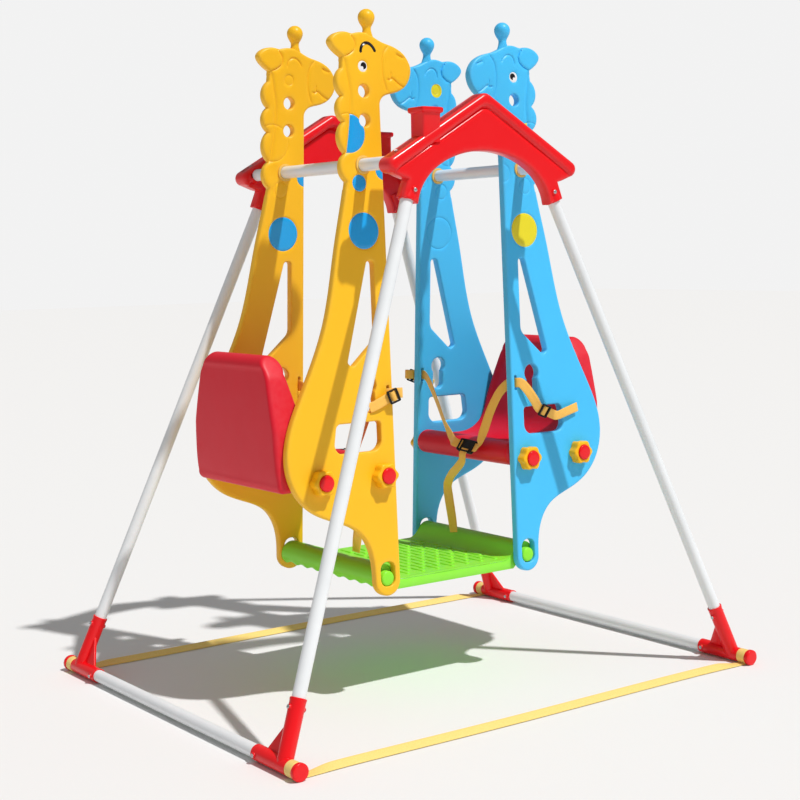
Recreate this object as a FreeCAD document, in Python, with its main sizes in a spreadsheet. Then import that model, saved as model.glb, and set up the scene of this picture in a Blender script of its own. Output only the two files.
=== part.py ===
"""Two-seat glider swing for small children.

A white tube frame under two red roof gables carries two crossbars. A yellow swing and a
blue swing face each other, each with two giraffe side panels and a red seat, and both
hold one green footboard between them. The frame's origin is on the floor under the
middle of the crossbars: X is the swinging direction, Y runs along the crossbars and Z is
up. The yellow swing is on the -X side and the near panels are on the -Y side.
"""
import FreeCAD, Part
import math
import os

Vector = FreeCAD.Vector
Rotation = FreeCAD.Rotation
Placement = FreeCAD.Placement

UP = Vector(0, 0, 1)
ALONG_X = Vector(1, 0, 0)
ALONG_Y = Vector(0, 1, 0)

# Driving dimensions, in millimetres and degrees: name, value, what it is
SIZES = (
    ("bar_height", 1350.0, "crossbar axis above the floor"),
    ("bar_offset", 257.0, "crossbar axis from the middle of the frame"),
    ("bar_reach", 352.0, "half length of a crossbar"),
    ("tube_od", 32.0, "outer diameter of every steel tube"),
    ("tube_wall", 1.5, "wall of every steel tube"),
    ("base_offset", 730.0, "base tube axis from the middle of the frame"),
    ("base_height", 21.0, "base tube axis above the floor"),
    ("base_reach", 586.0, "half length over the end caps of the feet"),
    ("leg_foot_y", 517.0, "where a leg axis meets the base tube axis"),
    ("leg_head_x", 237.5, "leg axis at the mouth of its gable socket"),
    ("leg_head_y", 339.5, "leg axis at the mouth of its gable socket"),
    ("leg_head_drop", 92.5, "mouth of a gable socket below the crossbar axis"),
    ("leg_in_gable", 48.0, "length of a leg inside its gable socket"),
    ("leg_in_foot", 34.0, "leg end above the base axis, along the leg"),
    ("socket_wall", 3.0, "plastic wall round a tube end"),
    ("socket_gap", 0.15, "radial clearance of a tube in its socket"),
    ("foot_leg_length", 147.0, "foot connector along the leg"),
    ("foot_base_inner", 405.0, "inner end of a foot connector along the base"),
    ("cap_length", 12.0, "thickness of an end cap's disc"),
    ("cap_od", 42.0, "diameter of an end cap's disc"),
    ("neck_od", 35.0, "foot connector where the floor strap goes round"),
    ("strap_width", 26.0, "floor strap webbing"),
    ("strap_thickness", 1.6, "floor strap webbing"),
    ("gusset_thickness", 7.0, "web between a foot's two sleeves"),
    ("gable_front", 362.0, "outer face of the roof edge from the middle"),
    ("roof_depth", 56.0, "roof edge measured along the crossbars"),
    ("plate_setback", 6.0, "gable plate behind the roof edge's outer face"),
    ("plate_thickness", 36.0, "gable plate measured along the crossbars"),
    ("roof_ridge_rise", 176.0, "where the two roof lines would meet, above the crossbar axis"),
    ("roof_pitch", 29.9, "slope of the roof lines, in degrees"),
    ("roof_band", 29.0, "width of the raised roof edge"),
    ("roof_ridge_round", 26.0, "radius of the ridge"),
    ("eave_offset", 280.0, "centre of an eave's round end"),
    ("eave_round", 20.0, "radius of an eave's round end"),
    ("arch_half_width", 212.0, "half width of the arch"),
    ("arch_rise", 141.0, "height of the arch"),
    ("arch_drop", 110.0, "the arch's centre below the crossbar axis"),
    ("gable_socket_wall", 5.0, "gable sleeve round a leg, over the leg"),
    ("bar_boss_wall", 6.0, "gable boss round a crossbar, over the crossbar"),
    ("chimney_offset", 172.0, "chimney axis from the middle"),
    ("chimney_rise", 131.0, "top of the chimney rim above the crossbar axis"),
    ("chimney_width", 54.0, "chimney across the roof"),
    ("chimney_depth", 52.0, "chimney along the crossbars"),
    ("chimney_rim", 6.0, "rim standing out round the chimney"),
    ("chimney_rim_height", 12.0, "height of the chimney rim"),
    ("chimney_wall", 4.0, "wall of the open chimney"),
    ("chimney_hollow", 30.0, "depth of the open chimney"),
    ("panel_gap_half", 167.0, "inner face of a side panel at the crossbar"),
    ("panel_thickness", 23.0, "side panel"),
    ("panel_lean", 2.58, "lean of the side panels towards each other, in degrees"),
    ("panel_front", 61.0, "front edge of a side panel from the crossbar axis"),
    ("pin_forward", 23.0, "footboard pin in front of the crossbar axis"),
    ("pin_drop", 1032.0, "footboard pin below the crossbar axis, along a panel"),
    ("pin_od", 38.0, "footboard pin"),
    ("pin_seat_gap", 0.3, "yellow slot's bottom under the pin"),
    ("pin_seat_play", 1.5, "blue slot's bottom under the pin"),
    ("slot_side_play", 3.0, "slot side from the pin"),
    ("slot_lift", 23.0, "height that a pin can rise in its slot"),
    ("lobe_radius", 38.0, "round lower end of a side panel"),
    ("bush_wall", 3.5, "bushing sleeve in the panel, over its crossbar"),
    ("bush_flange_reach", 3.0, "bushing flange standing out round its sleeve"),
    ("bush_flange_thickness", 4.0, "bushing flange"),
    ("bush_running_gap", 0.08, "radial clearance of a bushing on its crossbar"),
    ("bush_press_gap", 0.05, "radial clearance of a bushing in its panel"),
    ("ball_radius", 21.0, "ball on top of the head"),
    ("ball_forward", 37.0, "ball in front of the crossbar axis"),
    ("ball_rise", 363.0, "ball above the crossbar axis"),
    ("ball_neck_od", 20.0, "neck under the ball"),
    ("neck_hole_radius", 16.0, "round holes through the neck"),
    ("upper_hole_forward", 13.0, "upper neck hole"),
    ("upper_hole_rise", 181.0, "upper neck hole"),
    ("lower_hole_forward", 12.0, "lower neck hole"),
    ("lower_hole_rise", 109.0, "lower neck hole"),
    ("keyhole_radius", 24.0, "round part of the keyhole"),
    ("belt_slot_forward", 46.0, "harness slot in front of the crossbar axis"),
    ("belt_slot_drop", 567.0, "harness slot's middle below the crossbar axis"),
    ("belt_slot_height", 40.0, "harness slot"),
    ("belt_slot_width", 8.0, "harness slot"),
    ("seat_side_gap", 0.3, "seat side from the panel's inner face"),
    ("seat_front", 67.0, "seat's front edge from the crossbar axis"),
    ("seat_back", 279.0, "backrest's rear face behind the crossbar axis"),
    ("seat_bottom", 792.0, "seat's underside below the crossbar axis"),
    ("seat_pan_drop", 737.0, "seat's surface below the crossbar axis"),
    ("seat_top", 460.0, "backrest's top below the crossbar axis"),
    ("seat_top_half", 118.0, "half width of the backrest at its top"),
    ("bolt_front_forward", 18.0, "front knob bolt from the crossbar axis"),
    ("bolt_spacing", 186.0, "front knob bolt to rear knob bolt"),
    ("bolt_drop", 771.0, "knob bolts below the crossbar axis"),
    ("bolt_od", 10.0, "knob bolt"),
    ("bolt_in_seat", 45.0, "knob bolt inside the seat"),
    ("bolt_gap", 0.1, "radial clearance of a knob bolt"),
    ("knob_height", 27.0, "knob above the panel"),
    ("knob_radius", 33.0, "knob over its lobes"),
    ("knob_lobe_depth", 5.0, "hollow between two lobes"),
    ("knob_panel_gap", 0.3, "knob above the panel"),
    ("button_radius", 20.0, "round button in a knob"),
    ("button_height", 5.0, "button standing out of a knob"),
    ("board_drop", 1040.0, "tread below the crossbar axis at rest"),
    ("board_thickness", 28.0, "tread to the footboard's underside"),
    ("board_side_gap", 1.5, "footboard from a panel's inner face"),
    ("board_flat_reach", 176.0, "half length of the flat tread"),
    ("roll_radius", 34.0, "rolled lip round a pin's axis"),
    ("roll_hem", 22.0, "hem of the rolled lip below the pin's axis"),
    ("belt_width", 25.0, "harness webbing"),
    ("belt_thickness", 1.8, "harness webbing"),
)

doc = FreeCAD.newDocument("GliderSwing")
sheet = doc.addObject("Spreadsheet::Sheet", "Sizes")
for row, (name, value, meaning) in enumerate(SIZES, start=1):
    sheet.set("A%d" % row, meaning)
    sheet.set("B%d" % row, "%g" % value)
    sheet.setAlias("B%d" % row, name)
doc.recompute()


def size(alias):
    """A driving dimension read back from the sheet."""
    return float(sheet.get(alias))


PARTS = []


def keep(sub_part, label):
    """Name an object as one of the pieces that are written out."""
    sub_part.Label = label
    PARTS.append(sub_part)
    return sub_part


def bind(item, **expressions):
    """Bind properties of an object to cells of the sheet."""
    for name, expression in expressions.items():
        item.setExpression(name, expression)
    return item


def turn_to(direction):
    """The turn that takes the Z axis onto a direction."""
    return Rotation(UP, direction)


def cylinder(name, radius, height, start, direction):
    """A cylinder whose radius and height are expressions of the sheet."""
    item = doc.addObject("Part::Cylinder", name)
    bind(item, Radius=radius, Height=height)
    item.Placement = Placement(start, turn_to(direction))
    return item


def union(name, pieces):
    item = doc.addObject("Part::MultiFuse", name)
    item.Shapes = pieces
    item.Refine = True
    return item


def difference(name, base, tools):
    tool = tools[0]
    if len(tools) > 1:
        tool = union(name + "_cuts", tools)
    item = doc.addObject("Part::Cut", name)
    item.Base = base
    item.Tool = tool
    return item


def segments(points):
    """Straight edges through a list of (x, y) points."""
    ends = [Vector(x, y, 0) for x, y in points]
    return [Part.LineSegment(a, b) for a, b in zip(ends, ends[1:])]


def arc(first, middle, last):
    return Part.Arc(Vector(*first, 0), Vector(*middle, 0), Vector(*last, 0))


def curve(points, start_direction=None, end_direction=None):
    """A smooth curve through (x, y) points, with end directions where they are given."""
    line = Part.BSplineCurve()
    choices = {"Points": [Vector(x, y, 0) for x, y in points]}
    if start_direction:
        choices["InitialTangent"] = Vector(*start_direction, 0)
        choices["FinalTangent"] = Vector(*end_direction, 0)
    line.interpolate(**choices)
    return line


def circle(x, y, radius):
    return Part.Circle(Vector(x, y, 0), Vector(0, 0, 1), radius)


def rounded_polygon(corners):
    """Closed outline of (x, y, radius) corners, each rounded to its radius."""
    count = len(corners)
    edges = []
    entries = []
    for i in range(count):
        x, y, radius = corners[i]
        here = Vector(x, y, 0)
        back = Vector(*corners[i - 1][:2], 0) - here
        ahead = Vector(*corners[(i + 1) % count][:2], 0) - here
        back.normalize()
        ahead.normalize()
        half = back.getAngle(ahead) / 2
        reach = radius / math.tan(half)
        middle = back + ahead
        middle.normalize()
        centre = here + middle * (radius / math.sin(half))
        entries.append((here + back * reach, centre - middle * radius, here + ahead * reach))
    for i, (enter, top, leave) in enumerate(entries):
        if corners[i][2] > 0:
            edges.append(Part.Arc(enter, top, leave))
        edges.append(Part.LineSegment(leave, entries[(i + 1) % count][0]))
    return edges


def origin_plane(body, role):
    return [item for item in body.Origin.OriginFeatures if item.Role == role][0]


def body_pad(name, role, edges, length):
    """A body with one sketch on an origin plane, padded evenly to both sides."""
    body = doc.addObject("PartDesign::Body", name)
    sketch = body.newObject("Sketcher::SketchObject", name + "_outline")
    sketch.AttachmentSupport = [(origin_plane(body, role), "")]
    sketch.MapMode = "FlatFace"
    sketch.addGeometry(edges, False)
    pad = body.newObject("PartDesign::Pad", name + "_pad")
    pad.Profile = sketch
    pad.SideType = "Symmetric"
    pad.setExpression("Length", length)
    doc.recompute()
    return body


def body_cut(body, name, role, edges):
    """Cut an outline right through a body, and make sure that it took something away."""
    before = body.Shape.Volume
    sketch = body.newObject("Sketcher::SketchObject", name + "_outline")
    sketch.AttachmentSupport = [(origin_plane(body, role), "")]
    sketch.MapMode = "FlatFace"
    sketch.addGeometry(edges, False)
    pocket = body.newObject("PartDesign::Pocket", name)
    pocket.Profile = sketch
    pocket.Type = "ThroughAll"
    pocket.SideType = "Symmetric"
    doc.recompute()
    if body.Shape.Volume >= before:
        raise RuntimeError("%s cuts nothing" % name)
    return body


def at(x, y, z):
    return Vector(x, y, z)


# Shared directions and heights
BAR_RADIUS = "Sizes.tube_od / 2"
HALF_TURN = Rotation(UP, 180)


def leg_foot(side_x, side_y):
    return at(side_x * size("base_offset"), side_y * size("leg_foot_y"), size("base_height"))


def leg_head(side_x, side_y):
    """Leg axis at the mouth of its gable socket."""
    return at(side_x * size("leg_head_x"), side_y * size("leg_head_y"),
              size("bar_height") - size("leg_head_drop"))


def leg_direction(side_x, side_y):
    direction = leg_head(side_x, side_y) - leg_foot(side_x, side_y)
    direction.normalize()
    return direction


def leg_mouth_distance():
    return (leg_head(1, 1) - leg_foot(1, 1)).Length


def hollow_tube(label, height, start, direction, bolts):
    """A steel tube of the frame, open at both ends, with holes round its bolts."""
    outer = cylinder(label + "_outer", BAR_RADIUS, height, start, direction)
    inner = cylinder(label + "_bore", BAR_RADIUS + " - Sizes.tube_wall", height, start, direction)
    cuts = [inner]
    for place, across, radius, reach in bolts:
        cuts.append(cylinder(label + "_bolt_hole", "%g" % (radius + TUBE_BOLT_GAP), "%g" % reach,
                             place, across))
    return keep(difference(label, outer, cuts), label)


# Names of the four corners: swing side and near or far side
CORNERS = (("yellow_near", -1, -1), ("yellow_far", -1, 1), ("blue_near", 1, -1), ("blue_far", 1, 1))


def foot_bolt_cut(side_x, side_y, which):
    """Hole through a tube for one of a foot's two bolts."""
    middle, across = foot_bolt_places(side_x, side_y)[which]
    return (middle - across * size("tube_od"), across, FOOT_BOLT_RADIUS, 2 * size("tube_od"))


def gable_screw_cut(side_x, side_y, on_roof):
    """Hole in a tube's wall for one of a gable's screws."""
    for side, roof, start, inward in gable_screw_places(side_y):
        if side == side_x and roof == on_roof:
            return (start, inward, SCREW_HOLE_RADIUS, SCREW_LENGTH + SOCKET_FLOOR_GAP)


def make_tubes():
    """Two crossbars, two base tubes and four legs."""
    for side, side_x in (("yellow", -1), ("blue", 1)):
        start = at(side_x * size("bar_offset"), -size("bar_reach"), size("bar_height"))
        bolts = [gable_screw_cut(side_x, side_y, True) for side_y in (-1, 1)]
        hollow_tube("crossbar_" + side, "2 * Sizes.bar_reach", start, ALONG_Y, bolts)
        base_end = size("foot_base_inner") + BASE_TUBE_GRIP
        start = at(side_x * size("base_offset"), -base_end, size("base_height"))
        length = "2 * (Sizes.foot_base_inner + %g)" % BASE_TUBE_GRIP
        bolts = [foot_bolt_cut(side_x, side_y, 1) for side_y in (-1, 1)]
        hollow_tube("base_tube_" + side, length, start, ALONG_Y, bolts)
    reach = leg_mouth_distance() + size("leg_in_gable") - size("leg_in_foot")
    for corner, side_x, side_y in CORNERS:
        direction = leg_direction(side_x, side_y)
        start = leg_foot(side_x, side_y) + direction * size("leg_in_foot")
        bolts = [foot_bolt_cut(side_x, side_y, 0), gable_screw_cut(side_x, side_y, False)]
        hollow_tube("leg_" + corner, "%.6f" % reach, start, direction, bolts)


# Foot connectors
BASE_TUBE_GRIP = 90.0
TUBE_BOLT_GAP = 0.3
SOCKET_RADIUS = BAR_RADIUS + " + Sizes.socket_gap"
SLEEVE_RADIUS = BAR_RADIUS + " + Sizes.socket_wall"
SOCKET_FLOOR_GAP = 1.0
LEG_BOLT_PLACE = 124.0
BASE_BOLT_INSET = 14.0
BOLT_BOSS_RADIUS = "6.5"
BOLT_BOSS_PROUD = 3.0
FOOT_BOLT_RADIUS = 2.6
FOOT_BOLT_HEAD_RADIUS = 4.8
FOOT_BOLT_HEAD_HEIGHT = 2.4
GUSSET_ALONG_LEG = 112.0
GUSSET_ALONG_BASE = 26.0
CAP_PLUG_LENGTH = 20.0
CAP_PLUG_GAP = 0.15
NECK_BORE_RADIUS = 14.0
FOOT_BOLT_GAP = 0.1
STRAP_END_GAP = 2.5


def foot_bolt_places(side_x, side_y):
    """Middle and direction of the two through bolts of a foot: leg sleeve, base sleeve."""
    direction = leg_direction(side_x, side_y)
    across = ALONG_X - direction * ALONG_X.dot(direction)
    across.normalize()
    on_leg = leg_foot(side_x, side_y) + direction * LEG_BOLT_PLACE
    inset = size("foot_base_inner") + BASE_BOLT_INSET
    on_base = at(side_x * size("base_offset"), side_y * inset, size("base_height"))
    return ((on_leg, across), (on_base, ALONG_X))


def make_foot(corner, side_x, side_y):
    """Red connector of one base tube end and one leg, with its strap neck."""
    outward = ALONG_Y * side_y
    axis_start = at(side_x * size("base_offset"), side_y * size("foot_base_inner"),
                    size("base_height"))
    neck_start = size("base_reach") - size("cap_length") - size("strap_width") - 2 * STRAP_END_GAP
    sleeve_length = "%g - Sizes.foot_base_inner" % neck_start
    sleeve = cylinder("foot_sleeve", SLEEVE_RADIUS, sleeve_length, axis_start, outward)
    neck_length = "Sizes.base_reach - Sizes.cap_length - Sizes.foot_base_inner"
    neck = cylinder("foot_neck", "Sizes.neck_od / 2", neck_length, axis_start, outward)
    foot = leg_foot(side_x, side_y)
    direction = leg_direction(side_x, side_y)
    leg_sleeve = cylinder("foot_leg_sleeve", SLEEVE_RADIUS, "Sizes.foot_leg_length", foot, direction)
    pieces = [sleeve, neck, leg_sleeve, make_gusset(side_x, side_y)]
    sleeve_radius = size("tube_od") / 2 + size("socket_wall")
    boss_length = "%g" % (2 * (sleeve_radius + BOLT_BOSS_PROUD))
    places = foot_bolt_places(side_x, side_y)
    for middle, across in places:
        start = middle - across * (sleeve_radius + BOLT_BOSS_PROUD)
        pieces.append(cylinder("foot_boss", BOLT_BOSS_RADIUS, boss_length, start, across))
    solid = union("foot_solid", pieces)
    base_bore_length = "%g" % (BASE_TUBE_GRIP + SOCKET_FLOOR_GAP)
    base_bore = cylinder("foot_base_bore", SOCKET_RADIUS, base_bore_length, axis_start, outward)
    bore_start = foot + direction * (size("leg_in_foot") - SOCKET_FLOOR_GAP)
    leg_bore = cylinder("foot_leg_bore", SOCKET_RADIUS, "Sizes.foot_leg_length", bore_start, direction)
    plug_start = axis_start + outward * (size("base_reach") - size("cap_length")
                                         - size("foot_base_inner") - CAP_PLUG_LENGTH
                                         - SOCKET_FLOOR_GAP)
    plug_bore = cylinder("foot_plug_bore", "%g" % NECK_BORE_RADIUS,
                         "%g" % (CAP_PLUG_LENGTH + 2 * SOCKET_FLOOR_GAP), plug_start, outward)
    cuts = [base_bore, leg_bore, plug_bore]
    for middle, across in places:
        start = middle - across * (2 * sleeve_radius)
        cuts.append(cylinder("foot_bolt_hole", "%g" % (FOOT_BOLT_RADIUS + FOOT_BOLT_GAP),
                             "%g" % (4 * sleeve_radius), start, across))
    keep(difference("foot_" + corner, solid, cuts), "foot_" + corner)


def make_gusset(side_x, side_y):
    """Flat triangular web in the plane of the leg and the base tube."""
    foot = leg_foot(side_x, side_y)
    direction = leg_direction(side_x, side_y)
    inner = foot - ALONG_Y * side_y * (size("leg_foot_y") - size("foot_base_inner")
                                      - GUSSET_ALONG_BASE)
    tip = foot + direction * GUSSET_ALONG_LEG
    normal = direction.cross(ALONG_Y)
    normal.normalize()
    shift = normal * (size("gusset_thickness") / 2)
    corners = [foot - shift, inner - shift, tip - shift, foot - shift]
    face = Part.Face(Part.makePolygon(corners))
    gusset = doc.addObject("Part::Feature", "foot_gusset")
    gusset.Shape = face.extrude(normal * size("gusset_thickness"))
    return gusset


def make_foot_hardware():
    """End caps and through bolts of the four feet."""
    caps = []
    bolts = []
    sleeve_radius = size("tube_od") / 2 + size("socket_wall")
    for corner, side_x, side_y in CORNERS:
        outward = ALONG_Y * side_y
        face = size("base_reach") - size("cap_length")
        start = at(side_x * size("base_offset"), side_y * face, size("base_height"))
        disc = cylinder("cap_disc", "Sizes.cap_od / 2", "Sizes.cap_length", start, outward)
        plug = cylinder("cap_plug", "%g" % (NECK_BORE_RADIUS - CAP_PLUG_GAP),
                        "%g" % CAP_PLUG_LENGTH, start - outward * CAP_PLUG_LENGTH, outward)
        caps.append(union("foot_cap_" + corner, [disc, plug]))
        for middle, across in foot_bolt_places(side_x, side_y):
            reach = sleeve_radius + BOLT_BOSS_PROUD
            shank = cylinder("foot_bolt_shank", "%g" % FOOT_BOLT_RADIUS, "%g" % (2 * reach),
                             middle - across * reach, across)
            ends = [cylinder("foot_bolt_head", "%g" % FOOT_BOLT_HEAD_RADIUS,
                             "%g" % FOOT_BOLT_HEAD_HEIGHT, middle + across * (side * reach),
                             across * side) for side in (-1, 1)]
            bolts.append(union("foot_bolt", [shank] + ends))
    make_group("foot_end_caps", caps)
    make_group("foot_bolts", bolts)


def make_group(label, members):
    """Several separate solids that share one node."""
    group = doc.addObject("Part::Compound", label)
    group.Links = members
    return keep(group, label)


# Floor straps
STRAP_NECK_GAP = 0.3
STRAP_FLOOR_GAP = 1.2


def make_floor_strap(label, side_y):
    """Webbing from foot to foot on one side, looped round both necks."""
    inner = size("neck_od") / 2 + STRAP_NECK_GAP
    outer = inner + size("strap_thickness")
    middle = size("base_reach") - size("cap_length") - STRAP_END_GAP - size("strap_width") / 2
    start_y = side_y * middle - size("strap_width") / 2
    pieces = []
    cuts = []
    for side_x in (-1, 1):
        start = at(side_x * size("base_offset"), start_y, size("base_height"))
        pieces.append(cylinder("strap_loop", "%g" % outer, "Sizes.strap_width", start, ALONG_Y))
        cuts.append(cylinder("strap_eye", "%g" % inner, "Sizes.strap_width", start, ALONG_Y))
    run = doc.addObject("Part::Box", "strap_run")
    bind(run, Length="2 * Sizes.base_offset", Width="Sizes.strap_width",
         Height="Sizes.strap_thickness")
    low = size("base_height") - outer
    run.Placement = Placement(at(-size("base_offset"), start_y, low), Rotation())
    pieces.append(run)
    keep(difference(label, union(label + "_band", pieces), cuts), label)


# Gables
SCREW_X = 225.0
SCREW_DROP = 67.0
ROOF_SCREW_X = 262.0
SCREW_HOLE_RADIUS = 2.1
SCREW_HEAD_RADIUS = 5.0
SCREW_HEAD_HEIGHT = 2.6
SCREW_LENGTH = 14.0
SCREW_GAP = 0.1
SCREW_BOSS_RADIUS = 8.0
SCREW_BOSS_SETBACK = 3.0
ROOF_EDGE_ROUND = 9.0
PLATE_EDGE_ROUND = 4.0
GABLE_BAR_GRIP_END = 0.5
GABLE_SLEEVE_PAST = 6.0
BORE_OVERRUN = 10.0
EAVE_LOW_ANGLE = 0.2
BAND_END_EXTRA = 5.0
CHIMNEY_SINK = 12.0


def ridge_height():
    """Height where the two roof lines would meet."""
    return size("bar_height") + size("roof_ridge_rise")


def arch_height():
    """Height of the centre of the arch's ellipse."""
    return size("bar_height") - size("arch_drop")


def chimney_height():
    """Height of the top of the chimney rim."""
    return size("bar_height") + size("chimney_rise")


def roof_line(x, depth):
    """Height of the roof line at x, moved inwards by a depth measured square to it."""
    pitch = math.radians(size("roof_pitch"))
    return ridge_height() - abs(x) * math.tan(pitch) - depth / math.cos(pitch)


def gable_outline():
    """Outline of the gable plate: roof lines, eaves, leg sleeves and the arch."""
    pitch = math.radians(size("roof_pitch"))
    eave_x = size("eave_offset")
    eave_r = size("eave_round")
    eave_z = roof_line(eave_x, eave_r)
    slope = Vector(-math.cos(pitch), math.sin(pitch), 0)
    normal = Vector(math.sin(pitch), math.cos(pitch), 0)
    top = Vector(eave_x, eave_z, 0) + normal * eave_r
    tip = Vector(eave_x + eave_r, eave_z, 0)
    low = Vector(eave_x + eave_r * math.sin(EAVE_LOW_ANGLE),
                 eave_z - eave_r * math.cos(EAVE_LOW_ANGLE), 0)
    ridge_r = size("roof_ridge_round")
    ridge_start = Vector(ridge_r * math.sin(pitch), 0, 0)
    ridge_start.y = roof_line(ridge_start.x, 0)
    ridge_top = ridge_height() - ridge_r * (1 / math.cos(pitch) - 1)
    leg = leg_direction(1, 1)
    leg_slope = Vector(leg.x, leg.z, 0)
    leg_slope.normalize()
    leg_side = Vector(leg_slope.y, -leg_slope.x, 0)
    mouth = Vector(leg_head(1, 1).x, leg_head(1, 1).z, 0)
    half = size("tube_od") / 2 + size("gable_socket_wall")
    outer_mouth = mouth + leg_side * half
    inner_mouth = mouth - leg_side * half
    neck = outer_mouth + leg_slope * NECK_LENGTH
    under_eave = Vector(low.x - EAVE_UNDERSIDE, low.y - EAVE_UNDERSIDE_DROP, 0)
    arch_end_z = inner_mouth.y
    arch_end_x = arch_x(arch_end_z)
    arch_end = Vector(arch_end_x, arch_end_z, 0)
    right = [Part.LineSegment(ridge_start, top), Part.Arc(top, tip, low),
             Part.LineSegment(low, under_eave), Part.LineSegment(under_eave, neck),
             Part.LineSegment(neck, outer_mouth), Part.LineSegment(outer_mouth, arch_end)]
    left = []
    for edge in right:
        ends = [Vector(-p.x, p.y, 0) for p in (edge.EndPoint, edge.StartPoint)]
        if isinstance(edge, Part.LineSegment):
            left.append(Part.LineSegment(*ends))
        else:
            left.append(Part.Arc(ends[0], Vector(-tip.x, tip.y, 0), ends[1]))
    ridge = Part.Arc(Vector(-ridge_start.x, ridge_start.y, 0), Vector(0, ridge_top, 0), ridge_start)
    arch_points = []
    for angle in ARCH_ANGLES:
        start = math.asin((arch_end_z - arch_height()) / size("arch_rise"))
        turned = start + (math.pi - 2 * start) * angle
        arch_points.append((size("arch_half_width") * math.cos(turned),
                            arch_height() + size("arch_rise") * math.sin(turned)))
    arch = curve(arch_points)
    return right + left + [ridge, arch]


NECK_LENGTH = 46.0
EAVE_UNDERSIDE = 30.0
EAVE_UNDERSIDE_DROP = 11.0
ARCH_ANGLES = [i / 12 for i in range(13)]


def arch_x(height):
    """Half width of the arch's ellipse at a height."""
    share = (height - arch_height()) / size("arch_rise")
    return size("arch_half_width") * math.sqrt(1 - share * share)


def roof_edge_outline():
    """Outline of the raised roof edge: two bands that meet at the ridge."""
    pitch = math.radians(size("roof_pitch"))
    eave_x = size("eave_offset")
    eave_r = size("eave_round")
    eave_z = roof_line(eave_x, eave_r)
    normal = Vector(math.sin(pitch), math.cos(pitch), 0)
    top = Vector(eave_x, eave_z, 0) + normal * eave_r
    tip = Vector(eave_x + eave_r, eave_z, 0)
    foot = Vector(eave_x, eave_z - eave_r, 0)
    band = size("roof_band")
    inner_ridge = Vector(0, roof_line(0, band), 0)
    inner_end_x = eave_x - eave_r
    inner_end = Vector(inner_end_x, roof_line(inner_end_x, band + BAND_END_EXTRA), 0)
    ridge_r = size("roof_ridge_round")
    ridge_start = Vector(ridge_r * math.sin(pitch), 0, 0)
    ridge_start.y = roof_line(ridge_start.x, 0)
    ridge_top = ridge_height() - ridge_r * (1 / math.cos(pitch) - 1)
    edges = [Part.Arc(Vector(-ridge_start.x, ridge_start.y, 0), Vector(0, ridge_top, 0),
                      ridge_start)]
    edges += [Part.LineSegment(ridge_start, top), Part.Arc(top, tip, foot),
              Part.LineSegment(foot, inner_end), Part.LineSegment(inner_end, inner_ridge)]
    flip = [Vector(-p.x, p.y, 0) for p in (top, tip, foot, inner_end)]
    edges += [Part.LineSegment(inner_ridge, flip[3]), Part.LineSegment(flip[3], flip[2]),
              Part.Arc(flip[2], flip[1], flip[0]),
              Part.LineSegment(flip[0], Vector(-ridge_start.x, ridge_start.y, 0))]
    return edges


def fillet_faces(name, base, radius, test):
    """Round every edge of a solid that a test picks."""
    item = doc.addObject("Part::Fillet", name)
    item.Base = base
    doc.recompute()
    picked = [(i, radius, radius) for i, edge in enumerate(base.Shape.Edges, start=1) if test(edge)]
    item.Edges = picked
    return item


def lies_on_y(edge, place):
    box = edge.BoundBox
    return abs(box.YMin - place) < 0.01 and abs(box.YMax - place) < 0.01


def make_gable(label, side_y):
    """Red gable: plate with an arch, raised roof edge, sleeves, bosses and a chimney."""
    front = size("gable_front")
    band_middle = -(front - size("roof_depth") / 2)
    plate_middle = -(front - size("plate_setback") - size("plate_thickness") / 2)
    band = body_pad(label + "_band", "XZ_Plane", roof_edge_outline(), "Sizes.roof_depth")
    band_round = fillet_faces(label + "_band_round", band, ROOF_EDGE_ROUND,
                              lambda edge: lies_on_y(edge, -size("roof_depth") / 2)
                              or lies_on_y(edge, size("roof_depth") / 2))
    band_round.Placement = Placement(at(0, band_middle, 0), Rotation())
    plate = body_pad(label + "_plate", "XZ_Plane", gable_outline(), "Sizes.plate_thickness")
    plate.Placement = Placement(at(0, plate_middle, 0), Rotation())
    pieces = [band_round, plate]
    for side_x in (-1, 1):
        direction = leg_direction(side_x, -1)
        mouth = leg_head(side_x, -1)
        pieces.append(cylinder("gable_sleeve", BAR_RADIUS + " + Sizes.gable_socket_wall",
                               "Sizes.leg_in_gable + %g" % GABLE_SLEEVE_PAST, mouth, direction))
        start = at(side_x * size("bar_offset"), -size("gable_front") + size("plate_setback"),
                   size("bar_height"))
        pieces.append(cylinder("gable_boss", BAR_RADIUS + " + Sizes.bar_boss_wall",
                               "Sizes.roof_depth - Sizes.plate_setback", start, ALONG_Y))
    for _, on_roof, start, inward in gable_screw_places(-1):
        if not on_roof:
            pieces.append(cylinder("gable_screw_boss", "%g" % SCREW_BOSS_RADIUS, "%g" % SCREW_LENGTH,
                                   start, inward))
    pieces += make_chimney()
    solid = union(label + "_solid", pieces)
    cuts = [make_chimney_hollow()]
    for side_x in (-1, 1):
        direction = leg_direction(side_x, -1)
        mouth = leg_head(side_x, -1)
        cuts.append(cylinder("gable_leg_bore", SOCKET_RADIUS,
                             "Sizes.leg_in_gable + %g" % (SOCKET_FLOOR_GAP + BORE_OVERRUN),
                             mouth - direction * BORE_OVERRUN, direction))
        start = at(side_x * size("bar_offset"), -size("bar_reach") - GABLE_BAR_GRIP_END,
                   size("bar_height"))
        cuts.append(cylinder("gable_bar_bore", SOCKET_RADIUS, "Sizes.roof_depth + %g" % BORE_OVERRUN,
                             start, ALONG_Y))
    for _, _, start, inward in gable_screw_places(-1):
        cuts.append(cylinder("gable_screw_hole", "%g" % (SCREW_HOLE_RADIUS + SCREW_GAP),
                             "%g" % (SCREW_LENGTH + SOCKET_FLOOR_GAP), start, inward))
    whole = difference(label, solid, cuts)
    if side_y > 0:
        whole.Placement = Placement(Vector(), HALF_TURN)
    return keep(whole, label)


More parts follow.
